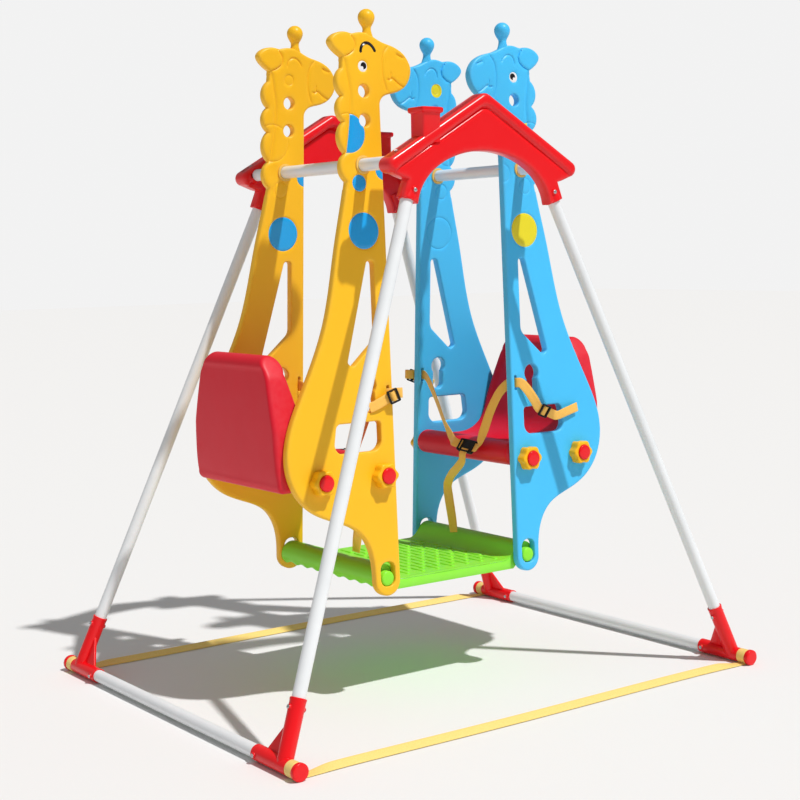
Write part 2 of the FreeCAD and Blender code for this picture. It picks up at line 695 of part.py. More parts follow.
def make_chimney():
    """Body and rim of the chimney on the near gable's -X slope."""
    y_middle = -(size("gable_front") - size("roof_depth") / 2)
    body_bottom = roof_line(size("chimney_offset") + size("chimney_width") / 2, CHIMNEY_SINK)
    pieces = []
    for name, spread, low, high in (
            ("chimney_body", 0.0, body_bottom, chimney_height()),
            ("chimney_rim_block", size("chimney_rim"),
             chimney_height() - size("chimney_rim_height"), chimney_height())):
        width = size("chimney_width") / 2 + spread
        depth = size("chimney_depth") / 2 + spread
        corner = CHIMNEY_CORNER + spread
        edges = rounded_polygon([(-width, -depth, corner), (width, -depth, corner),
                                 (width, depth, corner), (-width, depth, corner)])
        block = body_pad(name, "XY_Plane", edges, "%g" % (high - low))
        block.Placement = Placement(at(-size("chimney_offset"), y_middle, (low + high) / 2),
                                    Rotation())
        pieces.append(block)
    return pieces


def make_chimney_hollow():
    y_middle = -(size("gable_front") - size("roof_depth") / 2)
    width = size("chimney_width") / 2 - size("chimney_wall")
    depth = size("chimney_depth") / 2 - size("chimney_wall")
    corner = CHIMNEY_CORNER - size("chimney_wall") / 2
    edges = rounded_polygon([(-width, -depth, corner), (width, -depth, corner),
                             (width, depth, corner), (-width, depth, corner)])
    block = body_pad("chimney_hollow", "XY_Plane", edges, "2 * Sizes.chimney_hollow")
    block.Placement = Placement(at(-size("chimney_offset"), y_middle, chimney_height()),
                                Rotation())
    return block


CHIMNEY_CORNER = 8.0


def gable_screw_places(side_y):
    """Side, whether on the roof, start and inward direction of a gable's four screws."""
    face = size("gable_front") - SCREW_BOSS_SETBACK
    places = [(side, False, at(side * SCREW_X, side_y * face, size("bar_height") - SCREW_DROP),
               ALONG_Y * -side_y)
              for side in (-1, 1)]
    pitch = math.radians(size("roof_pitch"))
    y_middle = size("gable_front") - size("roof_depth") / 2
    for side in (-1, 1):
        inward = Vector(-side * math.sin(pitch), 0, -math.cos(pitch))
        top = at(side * ROOF_SCREW_X, side_y * y_middle, roof_line(ROOF_SCREW_X, 0.0))
        places.append((side, True, top, inward))
    return places


def make_gable_screws(label, side_y):
    """Pan-head screws of one gable."""
    screws = []
    for _, _, start, inward in gable_screw_places(side_y):
        shank = cylinder("screw_shank", "%g" % SCREW_HOLE_RADIUS, "%g" % SCREW_LENGTH, start, inward)
        head = cylinder("screw_head", "%g" % SCREW_HEAD_RADIUS, "%g" % SCREW_HEAD_HEIGHT, start,
                        inward * -1)
        screws.append(union("screw", [shank, head]))
    make_group(label, screws)


# Side panels, drawn from the outside with x forward and y up from the crossbar axis
MANE_NOTCHES = ((-49.0, 235.0), (-51.0, 167.0), (-50.0, 104.0), (-49.0, 27.0), (-49.0, -42.0))
MANE_PEAKS = ((-67.0, 201.0), (-67.5, 135.0), (-67.0, 65.0), (-66.5, -7.0))


def panel_outline():
    """Closed outline of a giraffe side panel, from the lower front going up."""
    front = size("panel_front")
    lobe = size("lobe_radius")
    lobe_x = size("pin_forward")
    lobe_y = -size("pin_drop") - LOBE_BELOW_PIN
    throat = (front, 148.0)
    edges = segments([(lobe_x + lobe, lobe_y), throat])
    edges.append(curve([throat, (front + 5, 163), (front + 20, 174), (100, 179), (118, 184),
                        (136, 193), (151, 208), (160, 228), (161, 246), (154, 263),
                        (142, 278), (125, 289), (104, 297)], (0, 1), (-1, 0.27)))
    edges.append(curve([(104, 297), (78, 303.5), (56, 312.5)], (-1, 0.27), (-1, 0.5)))
    edges.append(curve([(56, 312.5), (38, 321), (18, 324.5), (0, 323), (-14, 320), (-28, 322),
                        (-43, 322.5), (-60, 318.5), (-75, 309), (-81, 299), (-78, 288),
                        (-66, 275), (-46, 262)], (-1, 0.45), (1, -0.45)))
    edges.append(curve([(-46, 262), (-47.5, 250), MANE_NOTCHES[0]], (-0.2, -1), (-0.1, -1)))
    for first, peak, last in zip(MANE_NOTCHES, MANE_PEAKS, MANE_NOTCHES[1:]):
        edges.append(arc(first, peak, last))
    edges.append(curve([MANE_NOTCHES[-1], (-86, -200), (-134, -400), (-178, -500), (-219, -580),
                        (-251, -655), (-260, -715), (-236, -797), (-188, -845), (-118, -876),
                        (-60, -905), (-28, -950), (lobe_x - lobe, lobe_y)],
                       (-0.2, -1), (0, -1)))
    edges.append(arc((lobe_x - lobe, lobe_y), (lobe_x, lobe_y - lobe), (lobe_x + lobe, lobe_y)))
    return edges


LOBE_BELOW_PIN = 6.0
BELT_SLOT_CORNER = 3.5


def slot_outline(floor_gap):
    """Upright slot that holds a footboard pin, with its bottom a gap under the pin."""
    radius = size("pin_od") / 2 + size("pin_seat_gap")
    half = radius + size("slot_side_play")
    tilt = math.tan(math.radians(size("panel_lean"))) * size("panel_thickness") / 2
    bottom = -size("pin_drop") - size("pin_od") / 2 - floor_gap - tilt
    top = -size("pin_drop") + size("slot_lift") + radius
    middle = size("pin_forward")
    return rounded_polygon([(middle - half, bottom, radius), (middle + half, bottom, radius),
                            (middle + half, top, radius), (middle - half, top, radius)])


def panel_windows():
    """The tall tapered window, the keyhole, the harness slot and the hand hole."""
    tall = rounded_polygon([(20, -236, 9), (20, -430, 30), (-56, -497, 9), (-71, -486, 8),
                            (-1, -236, 9)])
    round_part = size("keyhole_radius")
    key_x, key_y = KEYHOLE_PLACE
    spread = math.radians(KEYHOLE_MOUTH)
    start = (key_x + round_part * math.sin(spread), key_y - round_part * math.cos(spread))
    end = (key_x - round_part * math.sin(spread), key_y - round_part * math.cos(spread))
    keyhole = [arc(start, (key_x, key_y + round_part), end)]
    tail = key_y - KEYHOLE_TAIL
    keyhole += segments([end, (end[0], tail)])
    keyhole += [arc((end[0], tail), (key_x, tail - round_part * math.sin(spread)),
                    (start[0], tail))]
    keyhole += segments([(start[0], tail), start])
    belt_x = size("belt_slot_forward")
    belt_y = -size("belt_slot_drop")
    wide = size("belt_slot_width") / 2
    high = size("belt_slot_height") / 2
    belt = rounded_polygon([(belt_x - wide, belt_y - high, BELT_SLOT_CORNER),
                            (belt_x + wide, belt_y - high, BELT_SLOT_CORNER),
                            (belt_x + wide, belt_y + high, BELT_SLOT_CORNER),
                            (belt_x - wide, belt_y + high, BELT_SLOT_CORNER)])
    hand = rounded_polygon([(-124, -708, 24), (20, -708, 28), (20, -634, 10), (-112, -634, 14)])
    return tall + keyhole + belt + hand


KEYHOLE_PLACE = (-12.0, -544.0)
KEYHOLE_MOUTH = 48.0
KEYHOLE_TAIL = 49.0


def bolt_places():
    """Front and rear knob bolt, forward and up from the crossbar axis."""
    front = size("bolt_front_forward")
    return ((front, -size("bolt_drop")), (front - size("bolt_spacing"), -size("bolt_drop")))


def swing_point(side_x, forward, y, rise):
    """A point of a swing, given forward and up from its crossbar axis."""
    return at(side_x * (size("bar_offset") - forward), y, size("bar_height") + rise)


def panel_placement(side_x, side_y):
    """Where a panel drawn about its own middle plane goes, leaning to the middle."""
    lean = Rotation(ALONG_X, side_y * size("panel_lean"))
    facing = Rotation() if side_x < 0 else HALF_TURN
    middle = side_y * (size("panel_gap_half") + size("panel_thickness") / 2)
    return Placement(swing_point(side_x, 0, middle, 0), lean * facing)


def panel_normal(side_x, side_y):
    """The direction that points out of a panel's outer face."""
    return Rotation(ALONG_X, side_y * size("panel_lean")).multVec(ALONG_Y * side_y)


def panel_face_point(side_x, side_y, forward, rise, out):
    """A point given in the panel's own plane, a distance out from its middle plane."""
    placement = panel_placement(side_x, side_y)
    local_out = out * side_y * (1 if side_x < 0 else -1)
    return placement.multVec(at(forward, local_out, rise))


def make_panel(corner, side_x, side_y):
    """Giraffe side panel with its windows, bolt holes, ball and footboard slot."""
    label = "panel_" + corner
    body = body_pad(label + "_plate", "XZ_Plane", panel_outline(), "Sizes.panel_thickness")
    floor_gap = size("pin_seat_gap") if side_x < 0 else size("pin_seat_play")
    holes = panel_windows() + slot_outline(floor_gap)
    holes.append(circle(size("upper_hole_forward"), size("upper_hole_rise"),
                        size("neck_hole_radius")))
    holes.append(circle(size("lower_hole_forward"), size("lower_hole_rise"),
                        size("neck_hole_radius")))
    holes.append(circle(0, 0, size("tube_od") / 2 + size("bush_wall") + size("bush_press_gap")))
    for forward, rise in bolt_places():
        holes.append(circle(forward, rise, size("bolt_od") / 2 + PANEL_BOLT_GAP))
    body_cut(body, label + "_holes", "XZ_Plane", holes)
    ball = doc.addObject("Part::Sphere", "ball")
    bind(ball, Radius="Sizes.ball_radius")
    ball.Placement = Placement(at(size("ball_forward"), 0, size("ball_rise")), Rotation())
    neck = cylinder("ball_neck", "Sizes.ball_neck_od / 2", "%g" % BALL_NECK_LENGTH,
                    at(size("ball_forward"), 0, size("ball_rise") - BALL_NECK_LENGTH), UP)
    whole = union(label, [body, ball, neck])
    whole.Placement = panel_placement(side_x, side_y)
    keep(whole, label)


PANEL_BOLT_GAP = 0.5
BALL_NECK_LENGTH = 55.0


def make_bushing(corner, side_x, side_y):
    """Two flanged half bushings pressed into a panel's two faces round the crossbar."""
    half_panel = "Sizes.panel_thickness / 2"
    halves = []
    for out in (-1, 1):
        sleeve = cylinder("bush_sleeve", BAR_RADIUS + " + Sizes.bush_wall", half_panel,
                          at(0, 0, 0), ALONG_Y * out)
        flange = cylinder("bush_flange", BUSH_FLANGE_RADIUS, "Sizes.bush_flange_thickness",
                          at(0, out * size("panel_thickness") / 2, 0), ALONG_Y * out)
        half = union("bush_half", [sleeve, flange])
        half.Placement = panel_placement(side_x, side_y)
        middle = side_y * (size("panel_gap_half") + size("panel_thickness") / 2)
        start = swing_point(side_x, 0, middle - BUSH_BORE_REACH, 0)
        bore = cylinder("bush_bore", BAR_RADIUS + " + Sizes.bush_running_gap",
                        "%g" % (2 * BUSH_BORE_REACH), start, ALONG_Y)
        halves.append(difference("bush_piece", half, [bore]))
    make_group("bushing_" + corner, halves)


BUSH_BORE_REACH = 40.0
BUSH_FLANGE_RADIUS = BAR_RADIUS + " + Sizes.bush_wall + Sizes.bush_flange_reach"


# Seats
def panel_inner(rise):
    """Distance of a panel's inner face from the middle at a height."""
    lean = math.radians(size("panel_lean"))
    half = size("panel_thickness") / 2
    return size("panel_gap_half") + half - half / math.cos(lean) - rise * math.tan(lean)


def pin_height():
    """Height of a footboard pin's axis above the floor."""
    return size("bar_height") - size("pin_drop") * math.cos(math.radians(size("panel_lean")))


def seat_profile():
    """Side view of the seat shell, forward and up from the crossbar axis."""
    front = size("seat_front")
    back = -size("seat_back")
    low = -size("seat_bottom")
    pan = -size("seat_pan_drop")
    top = -size("seat_top")
    nose_half = (pan + NOSE_RISE - low) / 2
    nose_x = front - nose_half
    edges = segments([(back + 22, low), (nose_x, low)])
    edges.append(arc((nose_x, low), (front, low + nose_half), (nose_x, pan + NOSE_RISE)))
    edges.append(curve([(nose_x, pan + NOSE_RISE), (nose_x - 45, pan), (-60, pan - 4),
                        (-118, pan), (-166, pan + 30), (-186, pan + 80), (-203, -579),
                        (-222, -505)], (-1, 0), (-0.25, 1)))
    edges.append(arc((-222, -505), (-234, top - 4), (-252, top)))
    edges.append(arc((-252, top), (back + 9, top - 9), (back + 3, top - 34)))
    edges.append(curve([(back + 3, top - 34), (back, -600), (back + 2, -700), (back + 9, low + 22)],
                       (-0.05, -1), (0.2, -1)))
    edges.append(arc((back + 9, low + 22), (back + 13, low + 7), (back + 22, low)))
    return edges


NOSE_RISE = 11.0
SEAT_VIEW_PAST = 10.0
SEAT_SHOULDER_DROP = 640.0
SEAT_SHOULDER_ROUND = 60.0
SEAT_TAPER = 46.0
SEAT_TAPER_DROP = 510.0
SEAT_PROFILE_SPAN = "500"
SEAT_VIEW_SPAN = "1000"
SEAT_HOLE_END_GAP = 2.0


def seat_front_view():
    """Front view of the seat shell: as wide as the panels leave, narrower at the top."""
    gap = size("seat_side_gap")
    low = -size("seat_bottom") - SEAT_VIEW_PAST
    shoulder = -SEAT_SHOULDER_DROP
    top = -size("seat_top") + SEAT_VIEW_PAST
    half_low = panel_inner(low) - gap
    half_shoulder = panel_inner(shoulder) - gap
    corners = [(half_low, low, 0), (half_shoulder, shoulder, SEAT_SHOULDER_ROUND),
               (size("seat_top_half") + SEAT_TAPER, -SEAT_TAPER_DROP, SEAT_SHOULDER_ROUND),
               (size("seat_top_half"), top, 0)]
    left = [(-x, y, radius) for x, y, radius in reversed(corners)]
    return rounded_polygon(corners + left)


def make_seat(side, side_x):
    """Red double-walled seat and backrest of one swing, with blind bolt holes."""
    label = "seat_" + side
    profile = body_pad(label + "_profile", "XZ_Plane", seat_profile(), SEAT_PROFILE_SPAN)
    front_view = body_pad(label + "_front_view", "YZ_Plane", seat_front_view(), SEAT_VIEW_SPAN)
    both = doc.addObject("Part::MultiCommon", label + "_block")
    both.Shapes = [profile, front_view]
    facing = Rotation() if side_x < 0 else HALF_TURN
    both.Placement = Placement(swing_point(side_x, 0, 0, 0), facing)
    holes = []
    for side_y in (-1, 1):
        normal = panel_normal(side_x, side_y)
        for forward, rise in bolt_places():
            start = panel_face_point(side_x, side_y, forward, rise, size("panel_thickness") / 2)
            holes.append(cylinder("seat_bolt_hole", "Sizes.bolt_od / 2 + Sizes.bolt_gap",
                                  "Sizes.bolt_in_seat + Sizes.panel_thickness + %g"
                                  % SEAT_HOLE_END_GAP, start, normal * -1))
    keep(difference(label, both, holes), label)


def make_seat_bolts(side, side_x):
    """Steel studs from the seat's sides through the panels into the knobs."""
    studs = []
    for side_y in (-1, 1):
        normal = panel_normal(side_x, side_y)
        for forward, rise in bolt_places():
            inner = -size("panel_thickness") / 2 - size("bolt_in_seat")
            start = panel_face_point(side_x, side_y, forward, rise, inner)
            length = "Sizes.bolt_in_seat + Sizes.panel_thickness + %g" % BOLT_IN_KNOB
            studs.append(cylinder("seat_stud", "Sizes.bolt_od / 2", length, start, normal))
    make_group("seat_bolts_" + side, studs)


BOLT_IN_KNOB = 16.0
KNOB_LOBES = 6
KNOB_CORE_TOP = 3.0


def knob_outline():
    """Lobed rim of a hand knob: a wave of six lobes round a circle."""
    outer = size("knob_radius")
    wave = size("knob_lobe_depth") / 2
    points = []
    count = KNOB_LOBES * 4
    for i in range(count):
        angle = 2 * math.pi * i / count
        radius = outer - wave + wave * math.cos(KNOB_LOBES * angle)
        points.append(Vector(radius * math.cos(angle), radius * math.sin(angle), 0))
    rim = Part.BSplineCurve()
    rim.interpolate(Points=points, PeriodicFlag=True)
    return [rim]


def make_knob(corner, side_x, side_y, end, place):
    """Yellow hand knob on a stud and the red button in its middle."""
    label = "knob_%s_%s" % (corner, end)
    forward, rise = place
    normal = panel_normal(side_x, side_y)
    base_out = size("panel_thickness") / 2 + size("knob_panel_gap")
    base = panel_face_point(side_x, side_y, forward, rise, base_out)
    block = body_pad(label + "_block", "XY_Plane", knob_outline(), "Sizes.knob_height")
    rounded = fillet_faces(label + "_rounded", block, KNOB_EDGE_ROUND,
                           lambda edge: edge.BoundBox.ZMin > size("knob_height") / 2 - 0.01)
    rounded.Placement = Placement(base + normal * (size("knob_height") / 2), turn_to(normal))
    bore = cylinder("knob_bore", "Sizes.bolt_od / 2 + Sizes.bolt_gap",
                    "%g" % (BOLT_IN_KNOB + SOCKET_FLOOR_GAP), base - normal, normal)
    seat_depth = BUTTON_DEPTH
    button_start = base + normal * (size("knob_height") - seat_depth)
    recess = cylinder("knob_recess", "Sizes.button_radius + %g" % BUTTON_GAP,
                      "%g" % (seat_depth + 1), button_start, normal)
    keep(difference(label, rounded, [bore, recess]), label)
    disc = cylinder("button_disc", "Sizes.button_radius",
                    "%g + Sizes.button_height" % seat_depth, button_start, normal)
    top = seat_depth + size("button_height")
    button_label = "button_%s_%s" % (corner, end)
    button = fillet_faces(button_label, disc, BUTTON_EDGE_ROUND,
                          lambda edge: (edge.CenterOfMass - button_start).dot(normal) > top - 0.01)
    keep(button, button_label)


KNOB_EDGE_ROUND = 4.0
BUTTON_DEPTH = 6.0
BUTTON_GAP = 0.1
BUTTON_EDGE_ROUND = 2.5


# Footboard
def board_height():
    """Height of the tread at rest."""
    return size("bar_height") - size("board_drop")


def board_profile():
    """Side view of the footboard: flat tread, sloping ends and rolled lips."""
    pin_x = size("bar_offset") - size("pin_forward")
    pin_z = pin_height()
    radius = size("roll_radius")
    hem = size("roll_hem")
    flat = size("board_flat_reach")
    top = board_height()
    low = top - size("board_thickness")
    lean = math.radians(ROLL_START)
    inner = (pin_x - radius * math.sin(lean), pin_z + radius * math.cos(lean))
    outer_x = pin_x + math.sqrt(radius * radius - hem * hem)
    under_x = pin_x - size("pin_od") / 2
    edges = segments([(-flat, top), (flat, top), inner])
    edges.append(arc(inner, (pin_x + radius * math.sin(lean), pin_z + radius * math.cos(lean)),
                     (outer_x, pin_z - hem)))
    edges += segments([(outer_x, pin_z - hem), (under_x, pin_z - hem), (under_x - UNDERSIDE_SLOPE, low),
                       (UNDERSIDE_SLOPE - under_x, low), (-under_x, pin_z - hem), (-outer_x, pin_z - hem)])
    edges.append(arc((-outer_x, pin_z - hem),
                     (-pin_x - radius * math.sin(lean), pin_z + radius * math.cos(lean)),
                     (-inner[0], inner[1])))
    edges += segments([(-inner[0], inner[1]), (-flat, top)])
    return edges


PIN_END_INSET = 1.0
ROLL_START = 45.0
UNDERSIDE_SLOPE = 14.0


def make_footboard():
    """Green footboard with a pin standing out at each corner."""
    pin_x = size("bar_offset") - size("pin_forward")
    pin_z = pin_height()
    half = panel_inner(pin_height() - size("bar_height")) - size("board_side_gap")
    board = body_pad("board", "XZ_Plane", board_profile(), "%.6f" % (2 * half))
    pin_reach = half + size("board_side_gap") + size("panel_thickness") - PIN_END_INSET
    pieces = [board]
    for side_x in (-1, 1):
        pieces.append(cylinder("board_pin", "Sizes.pin_od / 2", "%.6f" % (2 * pin_reach),
                               at(side_x * pin_x, -pin_reach, pin_z), ALONG_Y))
    cells = make_board_cells(half)
    keep(difference("footboard", union("footboard_solid", pieces), cells), "footboard")


def make_board_cells(half):
    """Open cells under the tread, with ribs between them."""
    cells = []
    reach = size("board_flat_reach") - BOARD_WALL
    low = board_height() - size("board_thickness")
    length = (2 * reach - (BOARD_CELLS_LONG - 1) * BOARD_WALL) / BOARD_CELLS_LONG
    width = (2 * half - (BOARD_CELLS_WIDE + 1) * BOARD_WALL) / BOARD_CELLS_WIDE
    for i in range(BOARD_CELLS_LONG):
        for k in range(BOARD_CELLS_WIDE):
            cell = doc.addObject("Part::Box", "board_cell")
            bind(cell, Length="%.6f" % length, Width="%.6f" % width,
                 Height="Sizes.board_thickness - %g + %g" % (BOARD_WALL, CELL_OVERRUN))
            corner = at(-reach + i * (length + BOARD_WALL),
                        -half + BOARD_WALL + k * (width + BOARD_WALL), low - CELL_OVERRUN)
            cell.Placement = Placement(corner, Rotation())
            cells.append(cell)
    return cells


BOARD_WALL = 4.0
CELL_OVERRUN = 1.0
BOARD_CELLS_LONG = 2
BOARD_CELLS_WIDE = 2


# Harness
def band(name, points, across, width, thickness):
    """Flat webbing through points, each with the direction across the webbing."""
    sections = []
    last = len(points) - 1
    for i, (point, side) in enumerate(zip(points, across)):
        before = point - points[max(i - 1, 0)]
        after = points[min(i + 1, last)] - point
        if i == 0:
            before = after
        if i == last:
            after = before
        before.normalize()
        after.normalize()
        ahead = before + after
        ahead.normalize()
        side = side - ahead * side.dot(ahead)
        side.normalize()
        mitre = 1 / math.cos(before.getAngle(after) / 2)
        half_side = side * (width / 2)
        half_normal = ahead.cross(side) * (thickness / 2 * mitre)
        sections.append([point + half_side + half_normal, point - half_side + half_normal,
                         point - half_side - half_normal, point + half_side - half_normal])
    triangles = []
    for a, b in zip(sections, sections[1:]):
        for i in range(4):
            k = (i + 1) % 4
            triangles += [(a[i], a[k], b[k]), (a[i], b[k], b[i])]
    for ends in (sections[0], sections[-1]):
        triangles += [(ends[0], ends[1], ends[2]), (ends[0], ends[2], ends[3])]
    faces = [Part.Face(Part.makePolygon(list(t) + [t[0]])) for t in triangles]
    solid = Part.makeSolid(Part.makeShell(faces))
    if solid.Volume < 0:
        solid.reverse()
    strap = doc.addObject("Part::Feature", name)
    strap.Shape = solid
    return strap


# Webbing under the end bars of an adjuster and over its middle bar: along, out
ADJUSTER_WEAVE = ((-17, -2.7), (-9.2, -2.7), (-3.2, 2.7), (3.2, 2.7), (9.2, -2.7), (17, -2.7))
ADJUSTER_SIZE = (29.0, 35.0, 3.0)
ADJUSTER_MIDDLE_BAR = 2.0
ADJUSTER_END_BAR = 3.0
ADJUSTER_SIDE_BAR = 4.0
ADJUSTER_CORNER = 3.0
ADJUSTER_WINDOW_CORNER = 1.0
SLOT_SEAT = 0.3
SLOT_LEAD = 3.0
# Outer runs in a panel's plane: forward, out from the panel's face, rise
LONG_TAIL = ((-165, 9, -646), (-120, 13, -656), (-85, 12, -664))
LONG_TAIL_ACROSS = ((0, 0, 1), (0, 0.1, 1), (-0.3, 0.2, 0.9))
LONG_ADJUSTER = (-40, 13.5, -648)
LONG_ALONG = (0.93, -0.02, 0.36)
LONG_ACROSS = (-0.33, 0.4, 0.86)
LONG_RUN = ((-2, 19, -618), (20, 15, -586), (37, 7, -567))
LONG_RUN_ACROSS = ((-0.5, 0.45, 0.7), (-0.3, 0.2, 0.9), (0, 0, 1))
SHORT_TAIL = ((-14, 2.5, -600), (8, 7, -592))
SHORT_TAIL_ACROSS = ((0.1, 0, 1), (0, 0, 1))
SHORT_LOOP = ((75, 20, -567), (79, 13, -567), (72, 7, -567), (59, 4, -567))
SHORT_ADJUSTER = (50, 17, -574)
SHORT_ALONG = (-0.88, -0.28, -0.36)
SHORT_ACROSS = (-0.35, 0.0, 0.93)
# Inner runs of a swing: forward, across, rise from the crossbar axis
NEAR_RUN = ((56, -163, -592), (64, -132, -644), (71, -114, -694), (78, -103, -728))
FAR_RUN = ((57, 150, -582), (60, 112, -632), (68, 66, -692), (76, 25, -730))
RUN_ACROSS = ((0.1, 0.35, 1), (0.3, 0.6, 0.8), (0.3, 0.5, 0.7), (-0.1, 0.4, 0.9))
BUCKLE_PLACE = (77.0, -47.0, -749.6)
BUCKLE_LONG = (-0.10, -0.985, -0.10)
BUCKLE_SIZE = (56.0, 40.0, 7.0)
BUCKLE_CORNER = 7.0
BUCKLE_UP = (-0.55, 0.0, 0.80)
# Webbing ends over the buckle's plate: along or up the plate, height above its seat
LAP_ON_BUCKLE = ((44.0, 5.0), (31.0, 0.0), (17.0, 0.0))
CROTCH_ON_BUCKLE = ((9.0, 0.0), (-26.0, 0.0))
CROTCH_RUN = ((96, -46, -786), (91, -16, -812), (82, 22, -838), (76, 45, -868), (74, 42, -905),
              (72, 32, -960), (71, 26, -1000))
CROTCH_ACROSS = ((-0.1, -0.9, -0.3), (-0.1, -0.8, -0.6), (-0.2, -0.8, -0.5), (-0.5, -0.8, 0),
                 (-0.8, -0.6, 0), (-0.6, -0.8, 0), (-0.3, -1, 0))


def swing_direction(side_x, direction):
    """A direction given as forward, across and up of a swing; across turns with the swing."""
    forward, across, rise = direction
    return Vector(-side_x * forward, side_x * across, rise)


def panel_direction(side_x, side_y, direction):
    """A direction given as forward, out and up of a panel."""
    forward, out, rise = direction
    local_out = out * side_y * (1 if side_x < 0 else -1)
    return panel_placement(side_x, side_y).Rotation.multVec(Vector(forward, local_out, rise))


def is_long(side_x, side_y):
    """Only one corner of the swing carries its adjuster on a long loose loop."""
    return side_x > 0 and side_y < 0


def adjuster_frame(side_x, side_y):
    """Middle of an adjuster and its directions along, across and out of its plate."""
    long_one = is_long(side_x, side_y)
    forward, out, rise = LONG_ADJUSTER if long_one else SHORT_ADJUSTER
    middle = panel_face_point(side_x, side_y, forward, rise, size("panel_thickness") / 2 + out)
    along = panel_direction(side_x, side_y, LONG_ALONG if long_one else SHORT_ALONG)
    along.normalize()
    across = panel_direction(side_x, side_y, LONG_ACROSS if long_one else SHORT_ACROSS)
    across = across - along * across.dot(along)
    across.normalize()
    outward = along.cross(across)
    if outward.dot(panel_normal(side_x, side_y)) < 0:
        outward = outward * -1
    return middle, along, across, outward


def make_lap_strap(corner, side_x, side_y):
    """Half of a lap harness: tail, adjuster weave, slot and the run to the buckle."""
    half = size("panel_thickness") / 2
    clear = SLOT_SEAT + size("belt_thickness") / 2
    slot_forward = size("belt_slot_forward") - size("belt_slot_width") / 2 + clear
    middle, along, adjuster_across, outward = adjuster_frame(side_x, side_y)
    weave = [middle + along * a + outward * o for a, o in ADJUSTER_WEAVE]
    long_one = is_long(side_x, side_y)

    def in_plane(route):
        return [panel_face_point(side_x, side_y, f, r, half + out) for f, out, r in route]

    def turned(directions):
        return [panel_direction(side_x, side_y, d) for d in directions]

    if long_one:
        points = in_plane(LONG_TAIL) + weave + in_plane(LONG_RUN)
        across = turned(LONG_TAIL_ACROSS) + [adjuster_across] * len(weave) + turned(LONG_RUN_ACROSS)
    else:
        points = in_plane(SHORT_TAIL) + weave[::-1] + in_plane(SHORT_LOOP)
        across = turned(SHORT_TAIL_ACROSS) + [adjuster_across] * len(weave)
        across += turned([(0, 0, 1)] * len(SHORT_LOOP))
    upright = panel_direction(side_x, side_y, (0, 0, 1))
    for out in (half + clear, -half - clear, -half - clear - SLOT_LEAD):
        points.append(panel_face_point(side_x, side_y, slot_forward, -size("belt_slot_drop"), out))
        across.append(upright)
    near_side = side_y * side_x < 0
    for forward, place, rise in NEAR_RUN if near_side else FAR_RUN:
        points.append(swing_point(side_x, forward, side_x * place, rise))
    for forward, place, rise in RUN_ACROSS:
        turned_place = place if near_side else -place
        across.append(swing_direction(side_x, (forward, turned_place, rise)))
    place, turn = buckle_placement(side_x)
    for reach, height in LAP_ON_BUCKLE:
        on_plate = Vector(reach if near_side else -reach, 0, BUCKLE_SIZE[2] / 2 + clear + height)
        points.append(place + turn.multVec(on_plate))
        across.append(turn.multVec(ALONG_Y))
    strap = band("lap_strap", points, across, size("belt_width"), size("belt_thickness"))
    keep(strap, "lap_strap_" + corner)


def make_crotch_strap(side, side_x):
    """Strap that hangs from the buckle towards the footboard."""
    place, turn = buckle_placement(side_x)
    above = BUCKLE_SIZE[2] / 2 + SLOT_SEAT + size("belt_thickness") / 2
    points = [place + turn.multVec(Vector(0, up, above + height))
              for up, height in CROTCH_ON_BUCKLE]
    across = [turn.multVec(ALONG_X)] * len(points)
    points += [swing_point(side_x, f, side_x * y, r) for f, y, r in CROTCH_RUN]
    across += [swing_direction(side_x, d) for d in CROTCH_ACROSS]
    strap = band("crotch", points, across, size("belt_width"), size("belt_thickness"))
    keep(strap, "crotch_strap_" + side)


def plate_frame(along, up):
    """Turn whose X axis is along and whose Y axis is as near up as it can be."""
    normal = along.cross(up)
    normal.normalize()
    return Rotation(along, normal.cross(along), normal, "XYZ")


def buckle_placement(side_x):
    """Middle of a buckle and its turn: X along the lap, Y up its plate, Z out of it."""
    forward, across, rise = BUCKLE_PLACE
    turn = plate_frame(swing_direction(side_x, BUCKLE_LONG), swing_direction(side_x, BUCKLE_UP))
    return swing_point(side_x, forward, side_x * across, rise), turn


def make_buckle(side, side_x):
    """Three-way buckle resting against the seat's front edge."""
    length, height, thickness = BUCKLE_SIZE
    corner = BUCKLE_CORNER
    edges = rounded_polygon([(-length / 2, -height / 2, corner), (length / 2, -height / 2, corner),
                             (length / 2, height / 2, corner), (-length / 2, height / 2, corner)])
    block = body_pad("buckle_block_" + side, "XY_Plane", edges, "%g" % thickness)
    block.Placement = Placement(*buckle_placement(side_x))
    keep(block, "buckle_" + side)


def make_adjusters(side, side_x):
    """Ladder adjusters outside both panels: a frame with one middle bar."""
    pieces = []
    for side_y in (-1, 1):
        long_size, wide_size, thick = ADJUSTER_SIZE
        x, y = long_size / 2, wide_size / 2
        r = ADJUSTER_CORNER
        outer = rounded_polygon([(-x, -y, r), (x, -y, r), (x, y, r), (-x, y, r)])
        body = body_pad("adjuster", "XY_Plane", outer, "%g" % thick)
        windows = []
        for sign in (-1, 1):
            ends = sorted((sign * ADJUSTER_MIDDLE_BAR, sign * (x - ADJUSTER_END_BAR)))
            inner_y = y - ADJUSTER_SIDE_BAR
            w = ADJUSTER_WINDOW_CORNER
            windows += rounded_polygon([(ends[0], -inner_y, w), (ends[1], -inner_y, w),
                                        (ends[1], inner_y, w), (ends[0], inner_y, w)])
        body_cut(body, "adjuster_windows", "XY_Plane", windows)
        middle, along, across, outward = adjuster_frame(side_x, side_y)
        body.Placement = Placement(middle, plate_frame(along, across))
        pieces.append(body)
    make_group("adjusters_" + side, pieces)


